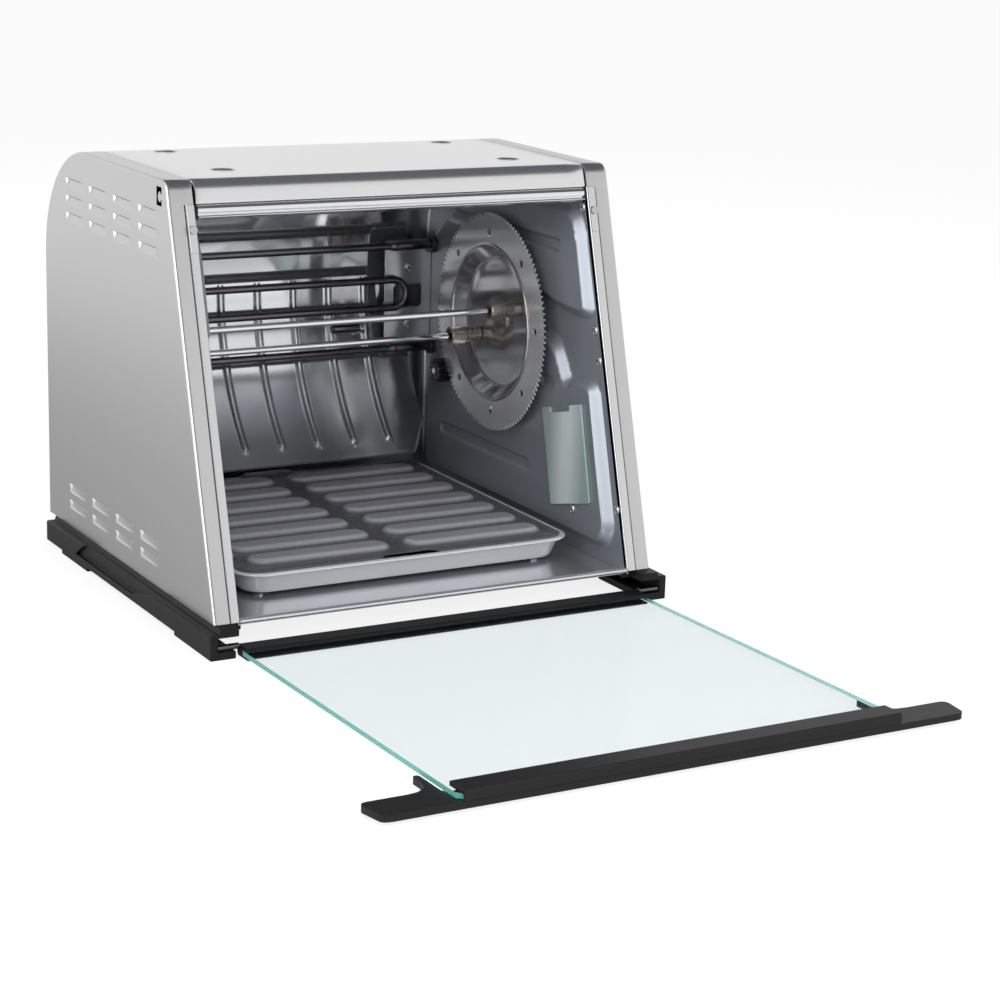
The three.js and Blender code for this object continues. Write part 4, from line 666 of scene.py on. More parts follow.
def makeTop():
    # The housing's outline carried across, with its front edge rolled in under the rail. A
    # dimple is an eased step down by the distance inside its circle.
    near = np.linspace(-dimples["grid"], dimples["grid"], 29)
    beside = np.concatenate([near + row for row in dimples["rows"]])
    path, normal = sidePath(railAlong, beside[beside < housing["depth"] - housing["rearRadius"] - 0.4])
    lead = slopePoint(railAlong + np.array([0, 0, 0.25, 0.9]), np.array([7, 1.2, 0.3, 0]))
    keep = (path[:, 1] > lead[3][1] + 0.5) | (path[:, 0] > housing["depth"] / 2)
    path = np.concatenate([lead, path[keep]])
    normal = normal[keep]
    normal = np.concatenate([np.repeat(normal[:1], len(lead), 0), normal])
    half, roll, span = openingHalf, housing["edgeRoll"], dimples["halfSpan"]
    x = stations([np.linspace(-half + roll, half - roll, 24), near - span, near + span])
    edge = [(-half, 3), (-half, roll), (-half + roll * 0.3, roll * 0.3)]
    section = edge + [(across, 0) for across in x] + [(-across, inset) for across, inset in edge[::-1]]
    points, faces = carried(path, normal, section)
    atRoll = 1 - np.abs(points[:, 1] - housing["lean"] + drawnEdge["ahead"]) / drawnEdge["reach"]
    atEnd = np.abs(points[:, 0]) > half - drawnEdge["width"]
    points[:, 0] -= np.sign(points[:, 0]) * drawnEdge["by"] * eased(atRoll * 1.6) * atEnd
    for across in (-span, span):
        for row in dimples["rows"]:
            reach = np.hypot(points[:, 0] - across, points[:, 1] - row)
            onTop = points[:, 2] > housing["top"] - 0.6
            points[:, 2] -= onTop * dimples["depth"] * eased((dimples["radius"] - reach) / dimples["wall"])
    place("top_back_sheet", [(points, faces)], litTopSteel, "brushed_steel", ["top_and_back_cover"],
          facing=(0, 0.2, 1), wall=housing["sheet"])


makeTop()

trim = {
    "height": 11.4, "depth": 7, "edge": 0.4, "band": 6.9, "groove": 1.3, "grooveDepth": 2.6,
    "crown": 1.3, "bead": 1.5, "cap": 2.4, "capRound": 0.8,
}


def makeTrim():
    # Section: a wide crowned band on top, a groove, and a narrow round bead under it. Crown
    # and bead fall back by the square of the way from their middle. A block caps each end.
    high = railAlong - gap
    low = high - trim["height"]
    bandTop, beadFoot = high - trim["edge"], low + trim["edge"]
    bandFoot = bandTop - trim["band"]
    beadTop = bandFoot - trim["groove"]
    share = np.linspace(0, 1, 13)
    fall = (2 * share - 1) ** 2
    section = np.concatenate([
        slopePoint(bandTop - share * trim["band"], trim["crown"] * fall),
        slopePoint([bandFoot - 0.1, beadTop + 0.1], trim["grooveDepth"]),
        slopePoint(beadTop - share * (beadTop - beadFoot), trim["bead"] * fall),
        slopePoint([low, low, high, high], [2.2, trim["depth"], trim["depth"], 2.0])])
    end = openingHalf - gap
    inner = end - trim["cap"]
    place("front_trim", prism([section], -inner, inner, "x"), trimSteel, "bright_trim", ["front_trim_bar"])
    cap = trim["capRound"]
    block = slopePoint([low, low, high, high], [cap, trim["depth"], trim["depth"], cap])
    for side, name in sideNames.items():
        start, far = sorted((side * (inner + 0.1), side * end))
        place(name + "_trim_end_cap", prism([roundedLoop(block, cap, 4)], start, far, "x"), basePlastic,
              "black_plastic", bevel=0.3)


makeTrim()

pillar = {"fold": 1.4, "inward": 5, "edge": 0.7, "edgeDepth": 3}


def makePillar(side):
    # the front strip, carried up the slope, with its fold into the cavity and a rolled outer edge
    along = np.linspace(0, railAlong - gap, 20)
    path = slopePoint(along)
    normal = slopePoint(along, 1) - path
    normal[0] = (slopeLength / slopeRise, 0)
    fold, edge, outer = pillar["fold"], pillar["edge"], stripOuter
    section = np.concatenate([
        [(openingHalf, pillar["inward"])],
        arc((openingHalf + fold, fold), fold, 180, 270, 5),
        [(outer - edge, 0), (outer - 0.2, 0.2), (outer, edge), (outer, pillar["edgeDepth"])]])
    place(sideNames[side] + "_front_strip", onSide(side, [carried(path, normal, section)]), shadedPillarSteel,
          "brushed_steel", facing=(0, -1, 0.3))


for side, name in sideNames.items():
    makePillar(side)
    roundedCopy(name + "_catch_plate_form", name + "_catch_plate", shadedPillarSteel, "brushed_steel", 0.35)
    roundedCopy(name + "_catch_stud_form", name + "_catch_stud", screwSteel, "brushed_steel", 0.5)
print("top, trim and pillars made")

# Inner walls

# upper, lower and bars hold shares of the housing's depth and of the wall's height
wallForm = {
    "low": 21.5, "high": 331, "rise": 8, "slope": 8, "margin": 12, "corner": 14, "pocket": 68,
    "pocketTurn": (149, -184.5), "frontInset": 1.6, "topRear": 9,
    "upper": [(0.268, 0.966), (0.234, 0.905), (0.183, 0.68), (0.213, 0.661), (0.33, 0.666)],
    "lower": [(0.325, 0.586), (0.267, 0.479), (0.252, 0.498), (0.22, 0.507), (0.154, 0.502),
              (0.093, 0.243), (0.059, 0.1), (0.095, 0.04)],
    "bars": [(0.315, 0.865, 0.848), (0.425, 0.87, 0.192), (0.325, 0.385, 0.458)],
    "barDepth": 2.4, "barWidth": 11, "barWall": 2.8, "step": {1: 1.45, -1: 2.6},
}
wallHeight = wallForm["high"] - wallForm["low"]
spit = {
    "centre": (215.5, 201), "halfSpan": 158, "teeth": 120, "module": 1.6, "toothDepth": 4,
    "rootShare": 0.88, "tipTurn": 0.0035, "thickness": 1.5,
    "dish": 68.2, "dishFloor": 57.7, "dishDepth": 10, "holeCircle": 80.5, "hole": 3.2, "holes": 8,
    "tabs": (84, 266), "rod": 3, "rodCircle": 39.4, "rodAngle": 153.6, "sleeve": 31,
    "sleeveRadius": 6.7, "collar": 8, "collarLength": 15, "bore": 12, "hub": 4,
}
lamp = {
    "centre": lampMiddle, "tilt": 14, "size": (65, 85), "border": 5, "thickness": 2,
    "notch": (-0.42, 0.6), "notchDepth": 5,
}


def panelLoop():
    # The raised panel's outline: up the front, an arc about the wheel, down the front and
    # back along the foot, with each corner rounded.
    size = np.array([housing["depth"], wallHeight])
    upper, lower = (size * wallForm[key] + (0, wallForm["low"]) for key in ("upper", "lower"))
    pocket = arc(spit["centre"], wallForm["pocket"], *wallForm["pocketTurn"], 40)
    rear = insideBack - wallForm["margin"]
    tail = [(rear, lower[-1][1]), (rear, housing["top"] - housing["rearRadius"]),
            (housing["depth"] - housing["rearRadius"] + wallForm["topRear"], upper[0][1])]
    return roundedLoop(np.concatenate([upper, pocket, lower, tail]), wallForm["corner"], 6)


def aboutLamp(points, back=False):
    # turned by the lamp's tilt about its centre, or back again
    turn = math.radians(lamp["tilt"]) * (-1 if back else 1)
    points = np.array(points, float)
    y, z = points[..., -2] - lamp["centre"][0], points[..., -1] - lamp["centre"][1]
    points[..., -2] = lamp["centre"][0] + y * math.cos(turn) + z * math.sin(turn)
    points[..., -1] = lamp["centre"][1] - y * math.sin(turn) + z * math.cos(turn)
    return points


def panelHeight(points):
    # a flat slope inside the outline, eased a little at its foot and its crest
    share = np.clip(distanceInside(points, panelLoop()) / wallForm["slope"], 0, 1)
    return wallForm["rise"] * (0.75 * share + 0.25 * eased(share))


def makeWall(side):
    # A height field over the wall: the distance inside the panel's outline raises the panel,
    # and the stiffening bars are eased capsules sunk into it.
    low, high, step = wallForm["low"], wallForm["high"], wallForm["step"][side]
    radius = housing["rearRadius"] - housing["sheet"] - gap
    v = np.linspace(low, high, int((high - low) / step))
    share = np.linspace(0, 1, int(300 / step))
    over = np.maximum(v - (housing["top"] - housing["rearRadius"]), 0)
    back = housing["depth"] - housing["rearRadius"] + np.sqrt(np.maximum(radius ** 2 - over ** 2, 0))
    front = frontAt(v, wallForm["frontInset"])
    y = front[:, None] + (back - front)[:, None] * share
    flat = np.stack([y, np.broadcast_to(v[:, None], y.shape)], -1).reshape(-1, 2)
    faces = gridFaces(len(v), len(share))
    if side > 0:
        # the lamp's opening: points beside its edge are moved on to it, and its faces left out
        halves = np.array(lamp["size"]) / 2 - lamp["border"]
        local = aboutLamp(flat, True) - lamp["centre"]
        reach = np.abs(local) - halves
        rows = np.nonzero(np.abs(reach.max(1)) < step * 0.75)[0]
        axis = reach.argmax(1)[rows]
        local[rows, axis] = np.sign(local[rows, axis]) * halves[axis]
        flat[rows] = aboutLamp(local[rows] + lamp["centre"])
        middle = np.abs(aboutLamp(flat[faces].mean(1), True) - lamp["centre"])
        faces = faces[(middle > halves).any(1)]
    height = panelHeight(flat)
    barRadius = wallForm["barWidth"] / 2
    for startShare, endShare, level in wallForm["bars"]:
        start, end = startShare * housing["depth"], endShare * housing["depth"]
        beyond = np.maximum(np.abs(flat[:, 0] - (start + end) / 2) - (end - start) / 2 + barRadius, 0)
        around = np.hypot(beyond, flat[:, 1] - low - level * wallHeight) - barRadius
        height -= wallForm["barDepth"] * eased((1.0 - around) / wallForm["barWall"])
    points = np.concatenate([side * (openingHalf - height)[:, None], flat], 1)
    used, faces = np.unique(faces, return_inverse=True)
    name = sideNames[side]
    place(name + "_wall_pressing", [(points[used], [faces.reshape(-1, 4)])], wallSteel, "zinc_paint",
          [name + "_inner_wall"], facing=(-side, 0, 0), wall=housing["sheet"])


def screwHead(form, sides=32):
    # polar height field: a low dome with two crossed slots sunk into it, closed underneath
    turn = np.arange(sides) * 2 * math.pi / sides
    ring = np.linspace(0, 1, 9)[:, None]
    u, v = ring * np.cos(turn) * form["radius"], ring * np.sin(turn) * form["radius"]
    dome = form["height"] * np.sqrt(np.maximum(1 - ring ** 2 * 0.9, 0)) + 0 * turn
    slot = np.zeros(u.shape, bool)
    for across, along in ((u, v), (v, u)):
        slot |= (np.abs(across) < 0.55) & (np.abs(along) < form["radius"] * 0.62)
    top = np.stack([u, v, dome - slot * 0.8], -1)
    foot = np.stack([u[-1:], v[-1:], np.zeros((1, sides))], -1)
    points = np.concatenate([top, foot, np.zeros((1, sides, 3))])
    return points.reshape(-1, 3), [gridFaces(len(points), sides, True)]


wallScrews = {"radius": 4.1, "height": 2.7,
              "spots": [(66.8, 219), (58.5, 194.1), (20.7, 72.8), (95, 319.9), (79.9, 60.3)]}


def makeScrews(side):
    # each head stands on the wall at its own height there, facing into the cavity
    head, faces = screwHead(wallScrews)
    parts = []
    for y, z in wallScrews["spots"]:
        base = openingHalf - panelHeight(np.array([[y, z]]))[0]
        parts.append((np.stack([side * (base - head[:, 2]), y + head[:, 0], z + head[:, 1]], -1), faces))
    place(sideNames[side] + "_wall_screws", parts, screwSteel, "brushed_steel")


for side in sideNames:
    makeWall(side)
    makeScrews(side)
print("inner walls made")


# Reflector, brackets and heating element

mirror = {
    "radius": 200, "middle": 220, "foot": 66, "halfWidth": 150, "cornerAcross": 21, "cornerUp": 26,
    "ribPitch": 36, "ribWidth": 4.2, "ribRise": 2.8, "ribs": 7, "ribInset": 9, "ribTop": 218,
    "ribTaper": 5, "lip": [(0, -2.3, 0.5), (0, -1.9, -0.5), (0, -0.9, -0.9)], "sheet": 0.8,
}


def makeReflector():
    # A cylinder's arc in y over z. Ribs stand on it by an eased step across, and run out over
    # a short taper at their ends. The lowest row climbs at the cut corners, and three rows
    # under it curl forward as a lip.
    half, width = mirror["halfWidth"], mirror["ribWidth"]
    ribs = (np.arange(mirror["ribs"]) - (mirror["ribs"] - 1) / 2) * mirror["ribPitch"]
    near = np.linspace(-5, 5, 15)
    x = stations([np.linspace(-half, half, 61)] + [near + rib for rib in ribs])
    cut = np.clip((np.abs(x) - (half - mirror["cornerAcross"])) / mirror["cornerAcross"], 0, 1)
    foot = mirror["foot"] + cut * mirror["cornerUp"]
    z = foot + (wallForm["high"] - gap - foot) * np.linspace(0, 1, 130)[:, None]
    across = np.broadcast_to(x, z.shape)
    nearest = np.abs(across[..., None] - ribs).min(-1)
    ends = np.minimum(z - mirror["foot"] - mirror["ribInset"], mirror["ribTop"] - z)
    rise = mirror["ribRise"] * eased((width - nearest) / width * 1.15) * eased(ends / mirror["ribTaper"])
    centre = housing["depth"] - 2 * housing["sheet"] - gap - mirror["radius"]
    y = centre + np.sqrt((mirror["radius"] - rise) ** 2 - (z - mirror["middle"]) ** 2)
    points = np.stack([across, y, z], -1)
    points = np.concatenate([points[:1] + np.array(mirror["lip"])[:, None], points])
    place("curved_reflector", [(points.reshape(-1, 3), [gridFaces(*points.shape[:2])])], mirrorSteel,
          "polished_steel", ["reflector"], facing=(0, -1, 0), wall=mirror["sheet"])


makeReflector()

heater = {
    "y": 346, "radius": 3.5, "cold": 4.4, "coldLength": 41, "halfRun": 128,
    "heights": [251, 219.4, 193.3, 154.6], "cap": 4.4, "crimp": 5.0, "crimpLength": 4, "crimpStart": 4,
    "crest": 170, "terminalRadius": 8, "spigot": 4.4, "spigotLength": 12,
}
crestFace = heater["crest"] - gap


def bentRun():
    # straight runs joined by half turns of equal radius, as (x, z) with unit tangents
    end = heater["crest"] - 2 * gap - heater["cap"]
    points, tangents, way = [(end, heater["heights"][0])], [(-1, 0)], -1
    for upper, lower in zip(heater["heights"][:-1], heater["heights"][1:]):
        radius, middle = (upper - lower) / 2, (upper + lower) / 2
        turn = np.linspace(0, math.pi, 25)
        points += list(zip(way * (heater["halfRun"] + radius * np.sin(turn)), middle + radius * np.cos(turn)))
        tangents += list(zip(way * np.cos(turn), -np.sin(turn)))
        way = -way
    points.append((end, heater["heights"][-1]))
    tangents.append((way, 0))
    return np.array(points), np.array(tangents)


def tube(points, tangents, radius, sides=18):
    # a ring in the plane of the tangent's normal and Y at each point, with closed ends
    turn = np.arange(sides) * 2 * math.pi / sides
    normal = np.stack([-tangents[:, 1], tangents[:, 0]], -1)
    x = points[:, :1] + normal[:, :1] * radius * np.cos(turn)
    z = points[:, 1:] + normal[:, 1:] * radius * np.cos(turn)
    y = heater["y"] + radius * np.sin(turn) + 0 * x
    ends = [np.stack([points[i, 0], heater["y"], points[i, 1]]) + np.zeros((1, sides, 3)) for i in (0, -1)]
    rings = np.concatenate([ends[0], np.stack([x, y, z], -1), ends[1]])
    return rings.reshape(-1, 3), [gridFaces(len(rings), sides, True)]


def makeElement():
    # the bent tube, whose two thicker cold ends have a collar each, and an insulator on each end
    points, tangents = bentRun()
    parts, collars = [tube(points, tangents, heater["radius"])], []
    end, thick, crimp = points[0][0], heater["cold"], heater["crimp"]
    start = end - heater["coldLength"]
    near = start + heater["crimpStart"]
    far = near + heater["crimpLength"]
    coldEnd = [(0, start + 1), (heater["radius"], start), (thick - 0.4, start + 0.5), (thick, start + 1.5),
               (thick, end), (0, end)]
    collar = [(thick - 0.3, near), (crimp, near + 0.5), (crimp, far - 0.5), (thick - 0.3, far),
              (thick - 0.3, near)]
    face, radius, spigot = crestFace - heater["cap"], heater["terminalRadius"], heater["spigot"]
    tip = heater["crest"] + heater["spigotLength"]
    insulator = [(0, face), (radius - 1.2, face), (radius, face + 1.2), (radius, crestFace),
                 (spigot, crestFace), (spigot, tip - 1), (spigot - 1, tip), (0, tip)]
    ends = {"upper": (0, heater["y"], heater["heights"][0]), "lower": (0, heater["y"], heater["heights"][-1])}
    for centre in ends.values():
        parts.append(turned(coldEnd, centre, "x", 24))
        collars.append(turned(collar, centre, "x", 24))
    place("element_tube", parts, elementSteel, "element_steel", ["heating_element"])
    place("element_crimps", collars, crimpSteel, "element_steel")
    for name, centre in ends.items():
        place(name + "_insulator", [turned(insulator, centre, "x", 40)], ceramicDark, "ceramic",
              [name + "_element_terminal"])


bracketScrews = {"radius": 4.3, "height": 2.6, "inset": 24.3, "face": 351.3, "heights": [229.4, 176.2]}


def makeBracketScrews(side):
    # a screw head over each hole of the bracket, facing forward
    head, faces = screwHead(bracketScrews)
    x = side * (heater["crest"] - bracketScrews["inset"]) + head[:, 0]
    y = bracketScrews["face"] - head[:, 2]
    parts = [(np.stack([x, y, height + head[:, 1]], -1), faces) for height in bracketScrews["heights"]]
    place(sideNames[side] + "_bracket_screws", parts, screwSteel, "brushed_steel")


probe = {"radius": 4.2, "shoulder": 3.8, "nose": 2.6, "collar": 5.4, "collarLength": 5}


def makeProbe():
    # a round-nosed tube and its collar, turned along the node's own axis
    low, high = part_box("thermostat_probe")
    centre = (0, (low.y + high.y) * 500 - frontShift, (low.z + high.z) * 500)
    start, end = low.x * 1000, high.x * 1000
    joint, radius, collar = end - probe["collarLength"], probe["radius"], probe["collar"]
    nose = [(0, start), (probe["nose"], start + 0.4), (probe["shoulder"], start + 1.6),
            (radius, start + 3.4), (radius, joint), (0, joint)]
    ring = [(0, joint), (collar - 0.6, joint), (collar, joint + 0.6), (collar, end - 0.6),
            (collar - 0.6, end), (0, end)]
    place("probe_tube", [turned(nose, centre, "x", 32)], elementSteel, "element_steel", ["thermostat_probe"])
    place("probe_collar", [turned(ring, centre, "x", 32)], chromeSteel, "rod_steel")


makeElement()
for side, name in sideNames.items():
    makeBracketScrews(side)
    roundedCopy(name + "_bracket_plate", name + "_element_bracket", bracketSteel, "bracket_steel", 0.3)
    roundedCopy(name + "_seat_form", name + "_wheel_seat", bracketSteel, "bracket_steel", 0.4)
    roundedCopy(name + "_bush_form", name + "_spit_bush", sleeveSteel, "sleeve_steel", 0.3)
makeProbe()
print("reflector and element made")


# Spit

pinion = {
    "teeth": 12, "angle": -35.1, "backlash": 0.3, "length": 19.2, "rise": 1.4, "drop": 2.1,
    "tipHalf": 0.55, "rootHalf": 1.6, "shaft": 3, "shaftReach": 1.6,
}


def gearLoop(centre, count, first, root, tip, rootTurn, tipTurn):
    # a tooth is four points on the root and tip circles, at small turns from its middle
    turns = (np.arange(count) * 2 * math.pi / count + first)[:, None]
    turns = (turns + np.array([-rootTurn, -tipTurn, tipTurn, rootTurn])).ravel()
    return onCircle(centre, np.tile([root, tip, tip, root], count), turns)


def wheelParts():
    # A toothed ring with round holes, the hub and two small tabs by the dish's rim. The dish
    # is turned from a beaded rim, a straight sloped wall that is rounded into its flat floor,
    # a raised middle and its outer side.
    centre, front = spit["centre"], spit["halfSpan"]
    back = front + spit["thickness"]
    rim, floor, deep = spit["dish"], spit["dishFloor"], front + spit["dishDepth"]
    tip = spit["module"] * (spit["teeth"] / 2 + 1)
    teeth = gearLoop(centre, spit["teeth"], math.radians(pinion["angle"]), tip - spit["toothDepth"], tip,
                     spit["rootShare"] * math.pi / spit["teeth"], spit["tipTurn"])
    holeTurns = 2 * math.pi * (np.arange(spit["holes"]) + 0.5) / spit["holes"]
    holeTurns = math.radians(spit["rodAngle"]) + holeTurns
    holes = [circleLoop(spit["hole"], spot, 20) for spot in onCircle(centre, spit["holeCircle"], holeTurns)]
    ring = prism([teeth, circleLoop(rim + 2.6, centre, 120)] + holes, front, back, "x")
    hubEnd = openingHalf - gap
    hub = [(0, deep + 1), (spit["hub"], deep + 1), (spit["hub"], hubEnd), (0, hubEnd)]
    ring.append(turned(hub, (0, *centre), "x", 32))
    for angle in spit["tabs"]:
        tab = roundedBox(2.6, 1.6, 0.8, onCircle(centre, rim + 9, math.radians(angle)))
        ring += prism([tab], front - 1.0, front + 0.2, "x")
    bead = arc((rim + 1.1, front + 0.1), 1.5, -10, -170, 9)
    slopeShare = np.array([0, 0.04, 0.12, 0.35, 0.7, 0.95, 1.0])[:, None]
    slope = (rim - 0.8, front + 0.4) + np.array([floor - rim + 2.2, spit["dishDepth"] - 1.6]) * slopeShare
    foot = [(floor + 0.8, deep - 0.6), (floor, deep - 0.2), (floor - 1.2, deep)]
    middle = [(floor - 8, deep), (28, deep), (14, deep), (12.4, deep + 0.5), (11, deep + 0.5),
              (0, deep + 0.5)]
    outside = back + spit["dishDepth"]
    outer = [(0, outside), (floor + 1.5, outside), (rim + 1.5, back), (rim + 2.8, back), (rim + 2.8, front)]
    profile = np.concatenate([[(rim + 2.8, front)], bead, slope, foot, middle, outer])
    return ring, [turned(profile, (0, *centre), "x", 128)]


def makeSpit():
    # The wheels, and on each of the two rods a sleeve at both ends. A sleeve is turned from
    # its bore, a wide collar with a ridge at its mouth, a groove and a plain body.
    ring, dish = wheelParts()
    for side, name in sideNames.items():
        place(name + "_toothed_wheel", onSide(side, ring), wheelSteel, "wheel_steel",
              [name + "_spit_wheel"], "spit", sharp=32)
        place(name + "_wheel_dish", onSide(side, dish), dishSteel, "wheel_steel", body="spit", sharp=32)
    base = spit["halfSpan"] + spit["dishDepth"] - gap
    mouth = base - spit["sleeve"]
    step, bore = mouth + spit["collarLength"], mouth + spit["bore"]
    wide, body, hole, rod = spit["collar"], spit["sleeveRadius"], spit["rod"] + gap, spit["rod"]
    sleeve = [(hole, bore), (hole, mouth + 4.2), (5.9, mouth + 3.2), (6.3, mouth), (7.3, mouth),
              (wide, mouth + 0.7), (wide, step - 0.9), (wide - 0.8, step), (body - 0.7, step + 0.2),
              (body - 0.7, step + 1.3), (body, step + 1.8), (body, base - 0.6), (body - 0.6, base),
              (0, base), (0, bore), (hole, bore)]
    end = bore - gap
    bar = [(0, -end), (2.4, -end), (rod, -end + 0.6), (rod, end - 0.6), (2.4, end), (0, end)]
    for rodName, sign in (("front", 1), ("rear", -1)):
        spot = onCircle(spit["centre"], sign * spit["rodCircle"], math.radians(spit["rodAngle"]))
        place(rodName + "_rod_bar", [turned(bar, (0, *spot), "x", 32)], chromeSteel, "rod_steel",
              [rodName + "_spit_rod"], "spit")
        for side, sideName in sideNames.items():
            name = sideName + "_" + rodName
            place(name + "_rod_sleeve", onSide(side, [turned(sleeve, (0, *spot), "x", 48)]), sleeveSteel,
                  "sleeve_steel", [name + "_sleeve"], "spit")


def makePinion():
    # trapezoid teeth on the root circle, on a shaft that runs back to the motor
    turn = math.radians(pinion["angle"])
    distance = spit["module"] * (spit["teeth"] + pinion["teeth"]) / 2 + pinion["backlash"]
    centre = onCircle(spit["centre"], distance, turn)
    pitch = spit["module"] * pinion["teeth"] / 2
    root, tip = pitch - pinion["drop"], pitch + pinion["rise"]
    teeth = gearLoop(centre, pinion["teeth"], turn + math.pi + math.pi / pinion["teeth"], root, tip,
                     pinion["rootHalf"] / root, pinion["tipHalf"] / tip)
    start, radius = crestFace - pinion["length"], pinion["shaft"]
    parts = prism([teeth, circleLoop(radius + gap, centre, 24)], start, crestFace, "x")
    place("pinion_gear", parts, pinionPlastic, "pinion_plastic", ["drive_pinion"], "pinion", bevel=0.25)
    near, far = start - pinion["shaftReach"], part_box("motor_shaft")[1].x * 1000
    shaft = [(0, near), (radius - 0.5, near), (radius, near + 0.5), (radius, far), (0, far)]
    place("pinion_shaft", [turned(shaft, (0, *centre), "x", 28)], chromeSteel, "rod_steel",
          ["motor_shaft"], frame["nodes"]["motor_shaft"]["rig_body"])


makeSpit()
makePinion()
print("spit made")


# Lamp

def makeLamp():
    # a rounded pane with a wide notch in its top edge, tilted with the lamp, and what lies behind
    halfY, halfZ = lamp["size"][0] / 2, lamp["size"][1] / 2
    near, far = (halfY * share for share in lamp["notch"])
    deep = halfZ - lamp["notchDepth"]
    corners = [(-halfY, -halfZ), (halfY, -halfZ), (halfY, halfZ), (far, halfZ), (far, deep), (near, deep),
               (near, halfZ), (-halfY, halfZ)]
    loop = roundedLoop(np.array(lamp["centre"]) + corners, 1.6, 4)
    parts = [(aboutLamp(points), faces)
             for points, faces in prism([loop], crestFace - lamp["thickness"], crestFace, "x")]
    place("lamp_pane", parts, paneGlass, "lamp_glass", ["lamp_window"], bevel=0.4, edgeFinish=paneEdge,
          upright=(1, 0, 0))
    roundedCopy("lamp_trough", "lamp_reflector", mirrorSteel, "polished_steel", 0.2)
    roundedCopy("lamp_socket", "lamp_holder", ceramicWhite, "ceramic", 0.6)
    roundedCopy("lamp_tube", "lamp_bulb", bulbGlass, "lamp_glass", 0.1, sharp=45)


makeLamp()


# Floor pan, drip tray and its cover

tray = {
    "halfX": 155, "halfY": 150, "centreY": 199, "bottom": 25.8, "depth": 18.6, "corner": 24,
    "flange": 5, "taper": 5, "foot": 3, "footRadius": 4, "footInset": 26, "sheet": 1,
}
trayCap = {
    "inset": 5, "rows": 7, "pitch": 38.5, "length": 130, "width": 27, "rise": 3.8, "shoulder": 5.5,
    "strip": 7, "notch": 55, "notchDepth": 7, "notchRun": 22, "groove": 0.9, "grooveInset": 13,
    "tab": 4.7, "tabRun": 14, "sheet": 0.9,
}


def makeFloorPan():
    # section along y: a rolled hem in front, a flat floor and a flange at the back
    back, low = insideBack, wallForm["low"]
    top = low + 1
    section = np.concatenate([
        [(back, low)],
        arc((2.6, low + 2.9), 2.6, 270, 90, 12),
        [(3.4, low + 5.2), (3.9, low + 4.4), (4.1, top + 0.3), (4.6, top), (5.6, top), (back - 3, top),
         (back - 2, top), (back - 1, top + 1), (back - 1, top + 12), (back, top + 12)]])
    end = openingHalf - gap
    place("floor_sheet", prism([section], -end, end, "x"), floorMirror, "floor_steel", ["floor_pan"])


def trayRing(inset, height, steps=9):
    # a level rounded rectangle, moved in by an inset
    halfX, halfY = tray["halfX"] - inset, tray["halfY"] - inset
    radius = max(tray["corner"] - inset / 2, 2)
    turn = (np.arange(4)[:, None] + np.linspace(0, 1, steps)) * math.pi / 2
    sign = np.array([[1, 1], [-1, 1], [-1, -1], [1, -1]])[:, None]
    x = sign[..., 0] * (halfX - radius) + radius * np.cos(turn)
    y = tray["centreY"] + sign[..., 1] * (halfY - radius) + radius * np.sin(turn)
    return np.stack([x.ravel(), y.ravel(), np.full(x.size, float(height))], -1)


def makeTray():
    # rings from the bottom's middle out over a rounded edge, up the wall, round the curled
    # flange and back down inside, on four turned feet
    low, top, wall, flange = tray["bottom"], tray["bottom"] + tray["depth"], tray["sheet"], tray["flange"]
    foot = flange + tray["taper"]
    steps = [(foot + 40, low), (foot + 3, low), (foot + 1.2, low + 0.35), (foot + 0.2, low + 1.4),
             (foot - 0.5, low + 3), (flange + 0.5, top - 4), (flange - 0.2, top - 2),
             (flange - 1.2, top - 1.3), (2, top - 1.2), (0.9, top - 1.9), (0.1, top - 1.5), (0, top - 0.8),
             (0.4, top - 0.2), (1.2, top), (flange, top), (flange + wall, top - 1.2),
             (foot + wall - 0.6, low + 3.4), (foot + wall + 1.4, low + 1.6), (foot + wall + 4, low + wall),
             (foot + 41, low + wall)]
    rings = np.stack([trayRing(inset, height) for inset, height in steps])
    outside, inside = (np.full((1, *rings.shape[1:]), (0, tray["centreY"], level))
                       for level in (low, low + wall))
    rings = np.concatenate([outside, rings, inside])
    parts = [(rings.reshape(-1, 3), [gridFaces(*rings.shape[:2], True)])]
    base, radius = low - tray["foot"], tray["footRadius"]
    peg = [(0, base), (radius - 1.2, base), (radius - 0.3, base + 0.5), (radius, base + 1.4),
           (radius + 0.4, low + 0.2), (0, low + 0.2)]
    for signX in (-1, 1):
        for signY in (-1, 1):
            x = signX * (tray["halfX"] - tray["footInset"])
            y = tray["centreY"] + signY * (tray["halfY"] - tray["footInset"])
            parts.append(turned(peg, (x, y, 0), "z", 24))
    place("drip_tray_pan", parts, traySteel, "tray_steel", ["drip_tray"], "tray")


